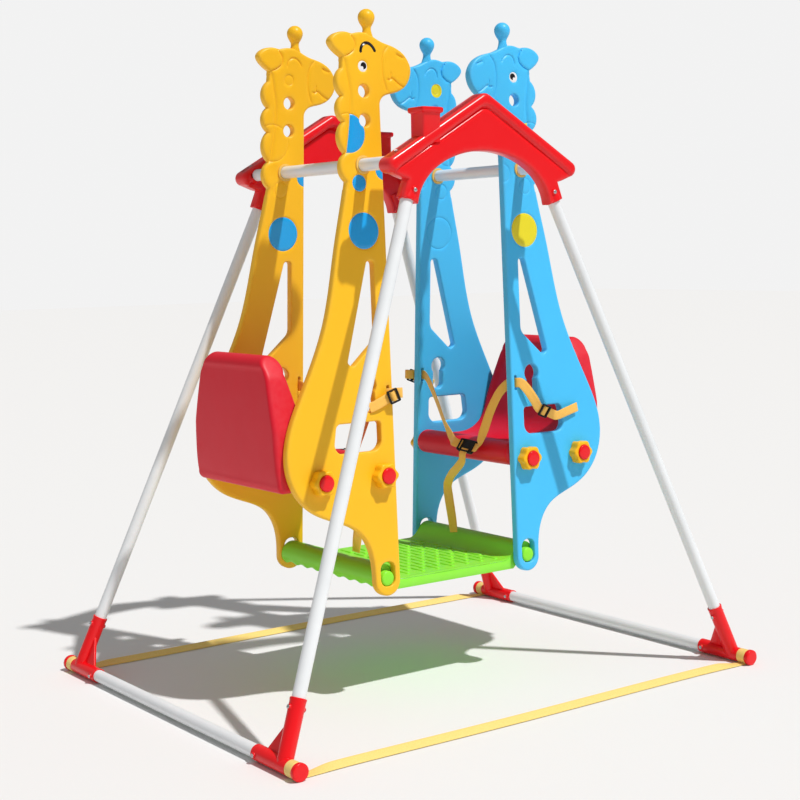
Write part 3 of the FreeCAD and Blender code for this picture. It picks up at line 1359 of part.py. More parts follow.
make_tubes()
for corner, side_x, side_y in CORNERS:
    make_foot(corner, side_x, side_y)
make_foot_hardware()
make_floor_strap("floor_strap_near", -1)
make_floor_strap("floor_strap_far", 1)
make_gable("gable_near", -1)
make_gable("gable_far", 1)
make_gable_screws("gable_screws_near", -1)
make_gable_screws("gable_screws_far", 1)
for corner, side_x, side_y in CORNERS:
    make_panel(corner, side_x, side_y)
    make_bushing(corner, side_x, side_y)
    make_lap_strap(corner, side_x, side_y)
    for end, place in zip(("front", "rear"), bolt_places()):
        make_knob(corner, side_x, side_y, end, place)
for side, side_x in (("yellow", -1), ("blue", 1)):
    make_seat(side, side_x)
    make_seat_bolts(side, side_x)
    make_crotch_strap(side, side_x)
    make_buckle(side, side_x)
    make_adjusters(side, side_x)
make_footboard()

doc.recompute()
for item in doc.Objects:
    if "Invalid" in item.State or "Error" in item.State:
        raise RuntimeError("%s is in state %s" % (item.Label, item.State))
for sub_part in PARTS:
    shape = sub_part.Shape
    if shape.isNull() or not shape.isValid():
        raise RuntimeError("%s has no valid shape" % sub_part.Label)

os.makedirs("parts", exist_ok=True)
for sub_part in PARTS:
    sub_part.Shape.exportStep("parts/%s.step" % sub_part.Label)
print("wrote %d sub-parts" % len(PARTS))
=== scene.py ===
"""Double glider swing for toddlers: tube frame, gables, giraffe panels, seats and harness."""
import math

import bpy
import numpy as np
from mathutils import Matrix, Vector
from mathutils.geometry import delaunay_2d_cdt


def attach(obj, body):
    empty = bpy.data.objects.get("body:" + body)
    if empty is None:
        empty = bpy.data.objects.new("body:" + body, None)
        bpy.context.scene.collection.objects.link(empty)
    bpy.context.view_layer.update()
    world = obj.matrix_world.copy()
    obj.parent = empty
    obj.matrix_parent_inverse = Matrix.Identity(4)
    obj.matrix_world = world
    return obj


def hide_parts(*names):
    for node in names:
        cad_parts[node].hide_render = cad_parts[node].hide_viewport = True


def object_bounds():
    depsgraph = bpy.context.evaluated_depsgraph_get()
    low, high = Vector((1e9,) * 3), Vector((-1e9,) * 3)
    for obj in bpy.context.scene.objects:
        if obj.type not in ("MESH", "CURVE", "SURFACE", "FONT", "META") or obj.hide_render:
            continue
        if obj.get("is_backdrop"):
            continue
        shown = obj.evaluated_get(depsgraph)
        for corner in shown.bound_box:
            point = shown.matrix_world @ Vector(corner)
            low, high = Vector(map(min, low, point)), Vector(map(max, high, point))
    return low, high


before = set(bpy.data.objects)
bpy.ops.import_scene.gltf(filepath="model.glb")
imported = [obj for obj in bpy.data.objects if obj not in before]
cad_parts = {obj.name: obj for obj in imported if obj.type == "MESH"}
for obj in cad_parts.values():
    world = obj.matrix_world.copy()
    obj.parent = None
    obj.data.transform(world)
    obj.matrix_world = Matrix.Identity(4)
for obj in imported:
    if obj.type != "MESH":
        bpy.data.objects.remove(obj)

CAD_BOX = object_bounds()
MM = 0.001
CORNERS = (("yellow_near", -1, -1), ("yellow_far", -1, 1), ("blue_near", 1, -1), ("blue_far", 1, 1))

# Sizes of the object in millimetres, as in its solid model
BAR_X, BAR_Z, BAR_REACH = 257.0, 1350.0, 352.0
TUBE_R = 16.0
BASE_X, BASE_Z = 730.0, 21.0
LEG_FOOT_Y = 517.0
LEG_HEAD = np.array([237.5, 339.5, 1257.5])
LEAN = math.radians(2.58)
PANEL_MIDDLE, PANEL_HALF = 178.5, 11.5
PIN_X = 234.0
PIN_Z = BAR_Z - 1032.0 * math.cos(LEAN)
BOLT_PLACES = (("front", 18.0, -771.0), ("rear", -168.0, -771.0))


# ---------------------------------------------------------------- camera
AZIMUTH, ELEVATION, ROLL = (math.radians(angle) for angle in (-36.59, 5.46, -0.92))
AIM_POINT, AIM_DISTANCE = np.array([1.73505, 2.3563, 0.45838]), 7.05858
FOCAL_PIXELS, PICTURE_PIXELS, SENSOR_MM = 1525.92, 800, 36.0


def put_camera():
    """Camera at the viewing angle: azimuth, elevation and roll about a far aim point."""
    back = np.array([math.sin(AZIMUTH) * math.cos(ELEVATION),
                     -math.cos(AZIMUTH) * math.cos(ELEVATION), math.sin(ELEVATION)])
    level = np.array([math.cos(AZIMUTH), math.sin(AZIMUTH), 0.0])
    upright = np.cross(level, -back)
    matrix = np.eye(4)
    matrix[:3, 0] = level * math.cos(ROLL) + upright * math.sin(ROLL)
    matrix[:3, 1] = -level * math.sin(ROLL) + upright * math.cos(ROLL)
    matrix[:3, 2] = back
    matrix[:3, 3] = AIM_POINT + back * AIM_DISTANCE
    data = bpy.data.cameras.new("camera")
    data.sensor_width = SENSOR_MM
    data.lens = FOCAL_PIXELS / PICTURE_PIXELS * SENSOR_MM
    camera = bpy.data.objects.new("camera", data)
    camera.matrix_world = Matrix(matrix.tolist())
    bpy.context.scene.collection.objects.link(camera)
    bpy.context.scene.camera = camera


# ---------------------------------------------------------------- finishes
def linear(code):
    """Linear colour of an sRGB hex code: each channel through the sRGB curve."""
    channels = [int(code[i:i + 2], 16) / 255 for i in (0, 2, 4)]
    return [c / 12.92 if c <= 0.04045 else ((c + 0.055) / 1.055) ** 2.4 for c in channels] + [1.0]


def fill(tree, node, inputs):
    """Sets a node's inputs; each is given a value or another node's output."""
    for key, value in inputs.items():
        if isinstance(value, bpy.types.NodeSocket):
            tree.links.new(value, node.inputs[key])
        else:
            node.inputs[key].default_value = value


def add(tree, kind, inputs=None, **settings):
    """Adds one node with its settings; an input is a value or another node's output."""
    node = tree.nodes.new("ShaderNode" + kind)
    for key, value in settings.items():
        setattr(node, key, value)
    fill(tree, node, inputs or {})
    return node


def noise(tree, place, scale, detail):
    """Cloudy noise from 0 to 1: spots per metre, and how many finer layers lie on them."""
    return add(tree, "TexNoise", {"Vector": place, "Scale": scale, "Detail": detail}).outputs["Fac"]


def ranged(tree, share, low, high):
    """A share from 0 to 1 spread between two values."""
    spread = add(tree, "MapRange", {"Value": share, "To Min": low, "To Max": high})
    return spread.outputs["Result"]


def maths(tree, operation, *values):
    """Result of one operation on one or two values."""
    return add(tree, "Math", dict(enumerate(values)), operation=operation).outputs["Value"]


def mixed(tree, share, first, second):
    """Colour that goes from the first to the second with the share."""
    return add(tree, "Mix", {0: share, 6: first, 7: second}, data_type="RGBA").outputs[2]


def bumped(tree, height, strength, depth_mm):
    """Normal of a surface whose height makes a relief of the given depth."""
    bump = add(tree, "Bump", {"Height": height, "Strength": strength, "Distance": depth_mm * MM})
    return bump.outputs["Normal"]


def darker(code, share):
    """Linear colour of a hex code, taken down to a share of its light."""
    return [c * share for c in linear(code)[:3]] + [1]


def new_finish(name):
    """Empty material and its node tree, principled shader and object coordinates in metres."""
    material = bpy.data.materials.new(name)
    material.use_nodes = True
    tree = material.node_tree
    shader = tree.nodes["Principled BSDF"]
    place = add(tree, "TexCoord").outputs["Object"]
    return material, tree, shader, place


PLASTIC_IOR = 1.5
WORN_SHARE = 0.16


def moulded_plastic(name, code, shade, rough, grain_mm, grain_depth, glow=0.0, sheen=0.0):
    """Moulded plastic: even colour with slow tint drift, a fine mould grain, paler rubbed edges.

    shade: least share of the full colour; rough: middle roughness; grain_mm and grain_depth:
    width and depth of the grain; glow: light that goes in; sheen: smooth skin over the grain.
    """
    material, tree, shader, place = new_finish(name)
    drift = ranged(tree, noise(tree, place, 9.0, 2.0), shade, 1.0)
    base = mixed(tree, drift, darker(code, 0.86), linear(code))
    rim = add(tree, "Attribute", attribute_name="rim").outputs["Fac"]
    rubbed = maths(tree, "MULTIPLY", rim, noise(tree, place, 60.0, 4.0))
    pale = [0.25 + 0.75 * c for c in linear(code)[:3]] + [1.0]
    grain = noise(tree, place, 1000.0 / grain_mm, 2.0)
    fill(tree, shader, {
        "Base Color": mixed(tree, maths(tree, "MULTIPLY", rubbed, WORN_SHARE), base, pale),
        "Roughness": ranged(tree, noise(tree, place, 24.0, 3.0), rough - 0.05, rough + 0.07),
        "Normal": bumped(tree, grain, 0.5, grain_depth),
        "IOR": PLASTIC_IOR,
        "Specular IOR Level": 0.3,
        "Subsurface Weight": glow,
        "Subsurface Radius": (0.004, 0.003, 0.002),
        "Coat Weight": sheen,
        "Coat Roughness": 0.12})
    return material


def printed_vinyl(name, code):
    """Self-adhesive printed vinyl: flat strong colour, smoother and glossier than the plastic."""
    material, tree, shader, place = new_finish(name)
    ink = ranged(tree, noise(tree, place, 350.0, 2.0), 0.0, 1.0)
    fill(tree, shader, {
        "Base Color": mixed(tree, ink, darker(code, 0.92), linear(code)),
        "Normal": bumped(tree, noise(tree, place, 120.0, 1.0), 0.2, 0.1),
        "Roughness": 0.26,
        "IOR": PLASTIC_IOR})
    return material


def powder_coated_steel():
    """White powder coat baked on steel tube: satin gloss with a soft orange-peel skin."""
    material, tree, shader, place = new_finish("powder_coated_steel")
    cloud = noise(tree, place, 14.0, 3.0)
    fill(tree, shader, {
        "Base Color": mixed(tree, cloud, linear("E2E6E9"), linear("F0F3F5")),
        "Normal": bumped(tree, noise(tree, place, 420.0, 1.0), 0.35, 0.12),
        "Roughness": ranged(tree, cloud, 0.26, 0.36),
        "IOR": PLASTIC_IOR})
    return material


def zinc_plated_steel():
    """Bright zinc-plated screw steel: greyish metal with fine drawn scratches."""
    material, tree, shader, place = new_finish("zinc_plated_steel")
    scratch = noise(tree, place, 900.0, 3.0)
    fill(tree, shader, {
        "Base Color": mixed(tree, scratch, linear("A9ABAD"), linear("DADCDE")),
        "Roughness": ranged(tree, scratch, 0.22, 0.42),
        "Metallic": 1.0})
    return material


YARN_MM = 1.5


def woven_polypropylene(name, code, hollow_shade_code):
    """Woven harness webbing: warp ribs along the strap crossed by weft, in yarn with a soft sheen.

    height = sin(along + 3 sin(across / 2)) + sin(across), with a turn for every yarn; the yarns
    are a little coarser than real ones so that the weave shows.
    """
    material, tree, shader, place = new_finish(name)
    weave = add(tree, "Attribute", attribute_name="weave").outputs["Vector"]
    parts = add(tree, "SeparateXYZ", {"Vector": weave})
    along, across = (maths(tree, "MULTIPLY", parts.outputs[axis], 2 * math.pi / YARN_MM)
                     for axis in ("X", "Y"))
    sign = maths(tree, "SINE", maths(tree, "MULTIPLY", across, 0.5))
    stagger = maths(tree, "MULTIPLY", sign, 3.0)
    weft = maths(tree, "SINE", maths(tree, "ADD", along, stagger))
    yarn = maths(tree, "ADD", weft, maths(tree, "SINE", across))
    height = add(tree, "MapRange", {"Value": yarn, "From Min": -2.0, "From Max": 2.0})
    height = height.outputs["Result"]
    # The colour goes darker into the low parts of the weave: painted shade in the hollows between
    # the yarns, varied by random fuzz noise
    hollow_shade_and_fuzz = maths(tree, "MULTIPLY", height, noise(tree, place, 300.0, 3.0))
    shade = add(tree, "MapRange", {"Value": hollow_shade_and_fuzz, "From Max": 0.6}).outputs["Result"]
    fill(tree, shader, {
        "Base Color": mixed(tree, shade, linear(hollow_shade_code), linear(code)),
        "Normal": bumped(tree, height, 0.7, 0.3),
        "Roughness": 0.62,
        "IOR": 1.49,
        "Sheen Weight": 0.25,
        "Sheen Roughness": 0.4})
    return material


# Moulded plastics: name, colour, least tint, roughness, grain width and depth in mm, glow, skin
PLASTICS = {
    # Blow-moulded polyethylene gives a waxy satin skin with a little light going in
    "yellow": ("blow_moulded_polyethylene_yellow", "FFC422", 0.6, 0.38, 0.9, 0.05, 0.06),
    "blue": ("blow_moulded_polyethylene_blue", "4AC6FF", 0.6, 0.38, 0.9, 0.05, 0.06),
    "seat": ("blow_moulded_polyethylene_crimson", "E00C2A", 0.6, 0.42, 1.6, 0.12, 0.05),
    # Connectors and gables shine more than the panels
    "red": ("moulded_polyethylene_red", "F00E18", 0.6, 0.30, 1.1, 0.05, 0.04, 0.15),
    "green": ("injection_moulded_polypropylene_green", "92F23C", 0.6, 0.34, 0.9, 0.06, 0.05),
    "knob": ("injection_moulded_polypropylene_yellow", "FFC01A", 0.6, 0.34, 0.8, 0.05, 0.05),
    # The buttons are polished caps
    "button": ("injection_moulded_polypropylene_red", "EC121C", 0.6, 0.24, 1.2, 0.03, 0.03, 0.2),
    "bushing": ("acetal_cream_yellow", "F2C86A", 0.5, 0.36, 0.8, 0.04, 0.08),
    # Buckles and adjusters: dull black with a coarse grain for its size
    "black": ("acetal_black", "141416", 0.5, 0.42, 0.7, 0.08),
}
VINYLS = {
    "dot_blue": ("printed_vinyl_blue", "16AAF4"),
    "dot_yellow": ("printed_vinyl_yellow", "EDE02A"),
    "ink_black": ("printed_vinyl_black", "0C0A0C"),
    "ink_white": ("printed_vinyl_white", "F6F7F8"),
}
# Webbings: name, colour of the yarn tops, and the darker colour painted as shade in the weave's
# hollows
WEBBINGS = {
    "webbing": ("woven_polypropylene_yellow", "FFD468", "FFB848"),
    "floor_webbing": ("woven_polypropylene_straw", "FFE692", "F4CE6A"),
}
FINISH = {"tube": powder_coated_steel(), "steel": zinc_plated_steel()}
for make, looks in ((moulded_plastic, PLASTICS), (printed_vinyl, VINYLS),
                    (woven_polypropylene, WEBBINGS)):
    FINISH.update({key: make(*values) for key, values in looks.items()})


# ---------------------------------------------------------------- shapes from numbers
def volume(points, faces):
    """Signed volume: a sixth of the triple products over every face's fan of triangles."""
    total = 0.0
    for index, _ in faces:
        for k in range(1, index.shape[1] - 1):
            a, b, c = points[index[:, 0]], points[index[:, k]], points[index[:, k + 1]]
            total += np.einsum("ij,ij->", a, np.cross(b, c))
    return total / 6


def piece(name, shells, finishes, body, nodes=(), sharp=38.0):
    """Joins closed shells, given in millimetres, into one mesh that rides on a body.

    A shell is (points, [(faces, finish number)], attributes); one that is inside out is turned.
    """
    points, faces, numbers, start = [], [], [], 0
    extras = {"rim": [], "weave": []}
    for shell in shells:
        place, groups = np.asarray(shell[0], float), shell[1]
        given = shell[2] if len(shell) > 2 else {}
        turn = volume(place, groups) < 0
        for index, number in groups:
            order = index[:, ::-1] if turn else index
            faces += (order + start).tolist()
            numbers.append(np.full(len(order), number))
        extras["rim"].append(given.get("rim", np.zeros(len(place))))
        extras["weave"].append(given.get("weave", np.zeros((len(place), 3))))
        points.append(place)
        start += len(place)
    mesh = bpy.data.meshes.new(name)
    mesh.from_pydata((np.vstack(points) * MM).tolist(), [], faces)
    mesh.polygons.foreach_set("material_index", np.concatenate(numbers).astype(np.int32))
    mesh.polygons.foreach_set("use_smooth", np.ones(len(mesh.polygons), bool))
    mesh.attributes.new("rim", "FLOAT", "POINT").data.foreach_set(
        "value", np.concatenate(extras["rim"]).astype(np.float32))
    mesh.attributes.new("weave", "FLOAT_VECTOR", "POINT").data.foreach_set(
        "vector", np.vstack(extras["weave"]).astype(np.float32).ravel())
    for finish in finishes:
        mesh.materials.append(FINISH[finish])
    mesh.set_sharp_from_angle(angle=math.radians(sharp))
    mesh.validate()
    obj = bpy.data.objects.new(name, mesh)
    bpy.context.scene.collection.objects.link(obj)
    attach(obj, body)
    if nodes:
        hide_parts(*nodes)
    return obj


def grid_faces(rows, columns, wrap_rows=False, wrap_columns=True):
    """Quads between neighbouring rows and columns of a grid of points."""
    i = np.arange(rows if wrap_rows else rows - 1)[:, None]
    j = np.arange(columns if wrap_columns else columns - 1)[None, :]
    below, right = (i + 1) % rows, (j + 1) % columns
    return np.stack([i * columns + j, i * columns + right, below * columns + right,
                     below * columns + j], -1).reshape(-1, 4)


def loft(rings, closed=False, number=0, extras=None):
    """Skin over rings of points: each ring joins the next, and both ends close to their middles."""
    rings = np.asarray(rings, float)
    rows, columns = rings.shape[:2]
    points = rings.reshape(-1, 3)
    faces = [(grid_faces(rows, columns, wrap_rows=closed), number)]
    if not closed:
        j = np.arange(columns)
        k = (j + 1) % columns
        last = (rows - 1) * columns
        middle = np.full(columns, len(points))
        faces.append((np.stack([middle, k, j], -1), number))
        faces.append((np.stack([middle + 1, last + j, last + k], -1), number))
        points = np.vstack([points, rings[0].mean(0), rings[-1].mean(0)])
    return points, faces, extras or {}


def unit(vector):
    """The vector at a length of one."""
    vector = np.asarray(vector, float)
    return vector / np.linalg.norm(vector)


def across_axes(axis):
    """Two directions square to an axis and to each other."""
    axis = unit(axis)
    other = np.array([0, 0, 1.0]) if abs(axis[2]) < 0.9 else np.array([1.0, 0, 0])
    first = unit(np.cross(axis, other))
    return axis, first, np.cross(axis, first)


def turned(profile, origin, axis, sides=64, closed=False, number=0):
    """Turned shape: every (along, radius) pair of the profile makes a circle round the axis."""
    axis, first, second = across_axes(axis)
    profile = np.asarray(profile, float)
    angle = np.linspace(0, 2 * math.pi, sides, endpoint=False)
    circle = np.cos(angle)[:, None] * first + np.sin(angle)[:, None] * second
    rings = (np.asarray(origin, float) + profile[:, 0, None, None] * axis
             + profile[:, 1, None, None] * circle)
    return loft(rings, closed, number)


def arc_points(first, middle, last, step=3.0):
    """Points along the circle through three points, about a step apart, last one left out."""
    a, b, c = (np.asarray(p, float) for p in (first, middle, last))
    d = 2 * ((a[0] - c[0]) * (b[1] - c[1]) - (b[0] - c[0]) * (a[1] - c[1]))
    sa, sb = a @ a - c @ c, b @ b - c @ c
    centre = np.array([(sa * (b[1] - c[1]) - sb * (a[1] - c[1])) / d,
                       (sb * (a[0] - c[0]) - sa * (b[0] - c[0])) / d])
    radius = np.linalg.norm(a - centre)
    start, mid, end = (math.atan2(*(p - centre)[::-1]) for p in (a, b, c))
    turn = (end - start) % (2 * math.pi)
    if (mid - start) % (2 * math.pi) > turn:
        turn -= 2 * math.pi
    count = max(int(abs(turn) * radius / step), int(abs(turn) / 0.3), 2)
    angle = start + turn * np.arange(count) / count
    return centre + radius * np.stack([np.cos(angle), np.sin(angle)], -1)


def line_points(first, last, step=3.0):
    """Points along a straight run, about a step apart, last one left out."""
    a, b = np.asarray(first, float), np.asarray(last, float)
    count = max(int(np.linalg.norm(b - a) / step), 1)
    return a + (b - a) * (np.arange(count) / count)[:, None]


def polyline(*corners):
    """Points along straight runs from corner to corner, last one left out."""
    return np.vstack([line_points(a, b) for a, b in zip(corners, corners[1:])])


def spline_points(points, start, end, step=3.0):
    """Smooth cubic through points by chord length with given end directions, last one left out."""
    p = np.asarray(points, float)
    chord = np.linalg.norm(np.diff(p, axis=0), axis=1)
    n = len(p)
    matrix, right = np.eye(n), np.zeros((n, p.shape[1]))
    right[0], right[-1] = (np.asarray(v, float) / np.linalg.norm(v) for v in (start, end))
    for i in range(1, n - 1):
        matrix[i, i - 1:i + 2] = chord[i], 2 * (chord[i - 1] + chord[i]), chord[i - 1]
        right[i] = 3 * (chord[i] / chord[i - 1] * (p[i] - p[i - 1])
                        + chord[i - 1] / chord[i] * (p[i + 1] - p[i]))
    slope = np.linalg.solve(matrix, right)
    out = []
    for i in range(n - 1):
        count = max(int(chord[i] / step), 1)
        t = (np.arange(count) / count)[:, None]
        h = chord[i]
        out.append((2 * t**3 - 3 * t**2 + 1) * p[i] + (t**3 - 2 * t**2 + t) * h * slope[i]
                   + (3 * t**2 - 2 * t**3) * p[i + 1] + (t**3 - t**2) * h * slope[i + 1])
    return np.vstack(out)


def rounded(corners, step=3.0, closed=True):
    """Closed polygon, or open run, whose (x, y, radius) corners are turned by arcs."""
    c = np.asarray(corners, float)
    n = len(c)
    out, last = [], None
    for i in range(n):
        here, radius = c[i, :2], c[i, 2]
        before, after = c[i - 1, :2] - here, c[(i + 1) % n, :2] - here
        ends = not closed and i in (0, n - 1)
        if radius <= 0 or ends:
            entry = leave = here
            turn = None
        else:
            before, after = before / np.linalg.norm(before), after / np.linalg.norm(after)
            half = math.acos(np.clip(before @ after, -1, 1)) / 2
            cut = radius / math.tan(half)
            entry, leave = here + before * cut, here + after * cut
            bisector = (before + after) / np.linalg.norm(before + after)
            turn = here + bisector * (radius / math.sin(half) - radius)
        if last is not None:
            out.append(line_points(last, entry, step))
        else:
            first = entry
        if turn is not None:
            out.append(arc_points(entry, turn, leave, step))
        last = leave
    if closed:
        out.append(line_points(last, first, step))
    else:
        out.append(last[None])
    return np.vstack(out)


def rectangle(left, right, low, high, radius):
    """The four (x, y, radius) corners of a rectangle, counter-clockwise."""
    return [(left, low, radius), (right, low, radius), (right, high, radius), (left, high, radius)]


def unit_rows(vectors):
    """Every row at a length of one."""
    return vectors / np.linalg.norm(vectors, axis=1)[:, None]


def left_of(ways):
    """The direction to the left of each direction in the plane."""
    return np.stack([-ways[:, 1], ways[:, 0]], -1)


def bell(distance, width):
    """Bell curve: 1 at a distance of 0 and 0.37 at the width."""
    return np.exp(-(distance / width) ** 2)


def soft_edge(distance, width):
    """1 well inside an edge (negative distance) and 0 well outside, over about the width."""
    return 1 / (1 + np.exp(np.clip(distance / width, -30, 30)))


def circle_points(x, y, radius, step=3.0):
    """Points round a circle, about a step apart."""
    count = max(int(2 * math.pi * radius / step), 24)
    angle = 2 * math.pi * np.arange(count) / count
    return np.stack([x + radius * np.cos(angle), y + radius * np.sin(angle)], -1)


def loop_area(loop):
    """Area inside a loop, positive when it runs counter-clockwise."""
    ahead = np.roll(loop, -1, axis=0)
    return 0.5 * np.sum(loop[:, 0] * ahead[:, 1] - loop[:, 1] * ahead[:, 0])


def edge_distance(points, starts, ends, chunk=1500):
    """Shortest distance of each point to a set of short runs, and the number of the nearest run."""
    run = ends - starts
    size = np.maximum(np.einsum("ij,ij->i", run, run), 1e-12)
    best, nearest = [], []
    for k in range(0, len(points), chunk):
        p = points[k:k + chunk, None, :]
        t = np.clip(((p - starts) * run).sum(-1) / size, 0, 1)
        gap = p - (starts + t[..., None] * run)
        d = (gap * gap).sum(-1)
        nearest.append(d.argmin(1))
        best.append(np.sqrt(d.min(1)))
    return np.concatenate(best), np.concatenate(nearest)


def inside(points, starts, ends, chunk=1500):
    """Whether each point has an odd number of runs to its right."""
    result = []
    for k in range(0, len(points), chunk):
        x, y = points[k:k + chunk, 0, None], points[k:k + chunk, 1, None]
        crosses = (starts[:, 1] > y) != (ends[:, 1] > y)
        slope = (ends[:, 0] - starts[:, 0]) / np.where(ends[:, 1] == starts[:, 1], 1e-9,
                                                       ends[:, 1] - starts[:, 1])
        result.append((crosses & (x < starts[:, 0] + (y - starts[:, 1]) * slope)).sum(1) % 2 == 1)
    return np.concatenate(result)


RING_ANGLES = np.radians([22.5, 45.0, 67.5, 90.0])


def flat_mesh(loops, radii, marks=(), borders=(), spacing=7.0):
    """Triangles over a flat region inside its loops, finer towards the edges and along marks.

    loops: outer loop, then holes; radii: rounding of each loop's edge; marks: open lines of
    relief with a half width; borders: closed lines that become edges of the triangles.
    Gives points, triangles, the distance of each point to the edge and its rounding radius.
    """
    loops = [loop if (loop_area(loop) > 0) == (i == 0) else loop[::-1] for i,
             loop in enumerate(loops)]
    starts = np.vstack(loops)
    ends = np.vstack([np.roll(loop, -1, axis=0) for loop in loops])
    radius = np.concatenate([np.full(len(loop), r) for loop, r in zip(loops, radii)])
    rings = []
    for loop, r in zip(loops, radii):
        ahead = np.roll(loop, -1, axis=0) - loop
        ahead /= np.linalg.norm(ahead, axis=1)[:, None] + 1e-12
        side = left_of(ahead)
        side = side + np.roll(side, 1, axis=0)
        side /= np.linalg.norm(side, axis=1)[:, None] + 1e-12
        for angle in RING_ANGLES:
            offset = r * (1 - math.cos(angle))
            ring = loop + side * offset
            gap, _ = edge_distance(ring, starts, ends)
            rings.append(ring[(gap > 0.8 * offset)])
    largest = max(radii)
    low, high = starts.min(0), starts.max(0)
    x, y = np.meshgrid(np.arange(low[0], high[0], spacing),
                       np.arange(low[1], high[1], spacing * 0.87))
    x = x + (np.arange(len(x)) % 2)[:, None] * spacing / 2
    field = np.stack([x.ravel(), y.ravel()], -1)
    field = field[inside(field, starts, ends)]
    gap, _ = edge_distance(field, starts, ends)
    field = field[gap > largest + 0.5 * spacing]
    lines = []
    for mark, wide in marks:
        side = left_of(unit_rows(np.gradient(mark, axis=0)))
        lines += [mark + side * (wide * k) for k in (-2.0, -1.0, -0.5, 0.0, 0.5, 1.0, 2.0)]
    lines += list(borders)
    if lines:
        line = np.vstack(lines)
        gap, _ = edge_distance(line, starts, ends)
        line = line[inside(line, starts, ends) & (gap > largest + 0.8)]
        if len(line) and len(field):
            gap, _ = edge_distance(field, line, line + 1e-6)
            field = field[gap > 0.45 * spacing]
        rings.append(line)
    fixed = list(loops) + list(borders)
    edges, count = [], 0
    for loop in fixed:
        index = np.arange(len(loop)) + count
        edges.append(np.stack([index, np.roll(index, -1)], -1))
        count += len(loop)
    free = np.vstack(rings + [field])
    places = np.vstack(fixed + [free])
    result = delaunay_2d_cdt([Vector(p) for p in places.tolist()], np.vstack(edges).tolist(), [], 0,
                             1e-5)
    points = np.array([tuple(p) for p in result[0]])
    triangles = np.array(result[2])
    middle = points[triangles].mean(1)
    triangles = triangles[inside(middle, starts, ends)]
    used, triangles = np.unique(triangles, return_inverse=True)
    triangles = triangles.reshape(-1, 3)
    points = points[used]
    a, b, c = points[triangles[:, 0]], points[triangles[:, 1]], points[triangles[:, 2]]
    twice = (b[:, 0] - a[:, 0]) * (c[:, 1] - a[:, 1]) - (b[:, 1] - a[:, 1]) * (c[:, 0] - a[:, 0])
    triangles[twice < 0] = triangles[twice < 0][:, ::-1]
    gap, nearest = edge_distance(points, starts, ends)
    return points, triangles, gap, radius[nearest]


def edge_drop(gap, radius):
    """How far a rounded edge lies below the flat face, from the distance to the edge."""
    short = np.clip(radius - gap, 0, radius)
    return radius - np.sqrt(np.maximum(radius**2 - short**2, 0))


def slab(points, triangles, front, back, place, front_numbers=0, back_numbers=0, side_number=0,
         rim=None):
    """Closed shell of a flat mesh: front and back faces at their heights and walls between them.

    place turns (x, height, y) of the drawing into a point of the object.
    """
    n = len(points)
    top = place(points[:, 0], front, points[:, 1])
    bottom = place(points[:, 0], back, points[:, 1])
    sides = np.vstack([triangles[:, [0, 1]], triangles[:, [1, 2]], triangles[:, [2, 0]]])
    key = np.sort(sides, axis=1)
    _, first, count = np.unique(key, axis=0, return_index=True, return_counts=True)
    open_sides = sides[first[count == 1]]
    a, b = open_sides[:, 0], open_sides[:, 1]
    walls = np.stack([b, a, a + n, b + n], -1)
    front_numbers = np.broadcast_to(front_numbers, len(triangles))
    back_numbers = np.broadcast_to(back_numbers, len(triangles))
    faces = [(walls, side_number)]
    for number in np.unique(front_numbers):
        faces.append((triangles[front_numbers == number], int(number)))
    for number in np.unique(back_numbers):
        faces.append((triangles[back_numbers == number][:, ::-1] + n, int(number)))
    extras = {} if rim is None else {"rim": np.concatenate([rim, rim])}
    return np.vstack([top, bottom]), faces, extras


def panel_place(side_x, side_y):
    """Turns a panel's forward, outward and upward measures into points of the object."""
    def place(forward, out, rise):
        forward, out, rise = np.broadcast_arrays(forward, out, rise)
        return np.stack([side_x * (BAR_X - forward),
                         side_y * (PANEL_MIDDLE + out * math.cos(LEAN) - rise * math.sin(LEAN)),
                         BAR_Z + rise * math.cos(LEAN) + out * math.sin(LEAN)], -1)
    return place


def plate_in(centre, x_way, y_way, out):
    """Turns a plate's own measures into points of the object."""
    def place(x, h, y):
        x, h, y = np.broadcast_arrays(x, h, y)
        return centre + x[..., None] * x_way + y[..., None] * y_way + h[..., None] * out
    return place


def panel_normal(side_y):
    """Outward direction of a panel."""
    return np.array([0.0, side_y * math.cos(LEAN), math.sin(LEAN)])


# ---------------------------------------------------------------- side panels
NOTCHES = ((-49, 235), (-51, 167), (-50, 104), (-49, 27), (-49, -42))
PEAKS = ((-67, 201), (-67.5, 135), (-67, 65), (-66.5, -7))
LOBE_Y = -1038.0
SLOT_GAPS = {"yellow": 0.3, "blue": 1.5}
EDGE_ROUND = 5.5
HOLE_ROUND = 4.0
FIT_ROUND = 1.0


def panel_outline():
    """Giraffe outline from the lower front up: neck, muzzle, ear, mane scallops, wide hip."""
    runs = [line_points((61, LOBE_Y), (61, 148), 4.0),
            spline_points([(61, 148), (66, 163), (81, 174), (100, 179), (118, 184), (136, 193),
                           (151, 208), (160, 228), (161, 246), (154, 263), (142, 278), (125, 289),
                           (104, 297)], (0, 1), (-1, 0.27)),
            spline_points([(104, 297), (78, 303.5), (56, 312.5)], (-1, 0.27), (-1, 0.5)),
            spline_points([(56, 312.5), (38, 321), (18, 324.5), (0, 323), (-14, 320), (-28, 322),
                           (-43, 322.5), (-60, 318.5), (-75, 309), (-81, 299), (-78, 288),
                           (-66, 275), (-46, 262)], (-1, 0.45), (1, -0.45)),
            spline_points([(-46, 262), (-47.5, 250), NOTCHES[0]], (-0.2, -1), (-0.1, -1))]
    runs += [arc_points(a, b, c) for a, b, c in zip(NOTCHES, PEAKS, NOTCHES[1:])]
    runs.append(spline_points([NOTCHES[-1], (-86, -200), (-134, -400), (-178, -500), (-219, -580),
                               (-251, -655), (-260, -715), (-236, -797), (-188, -845), (-118, -876),
                               (-60, -905), (-28, -950), (-15, LOBE_Y)], (-0.2, -1), (0, -1), 4.0))
    runs.append(arc_points((-15, LOBE_Y), (23, LOBE_Y - 38), (61, LOBE_Y)))
    return np.vstack(runs)


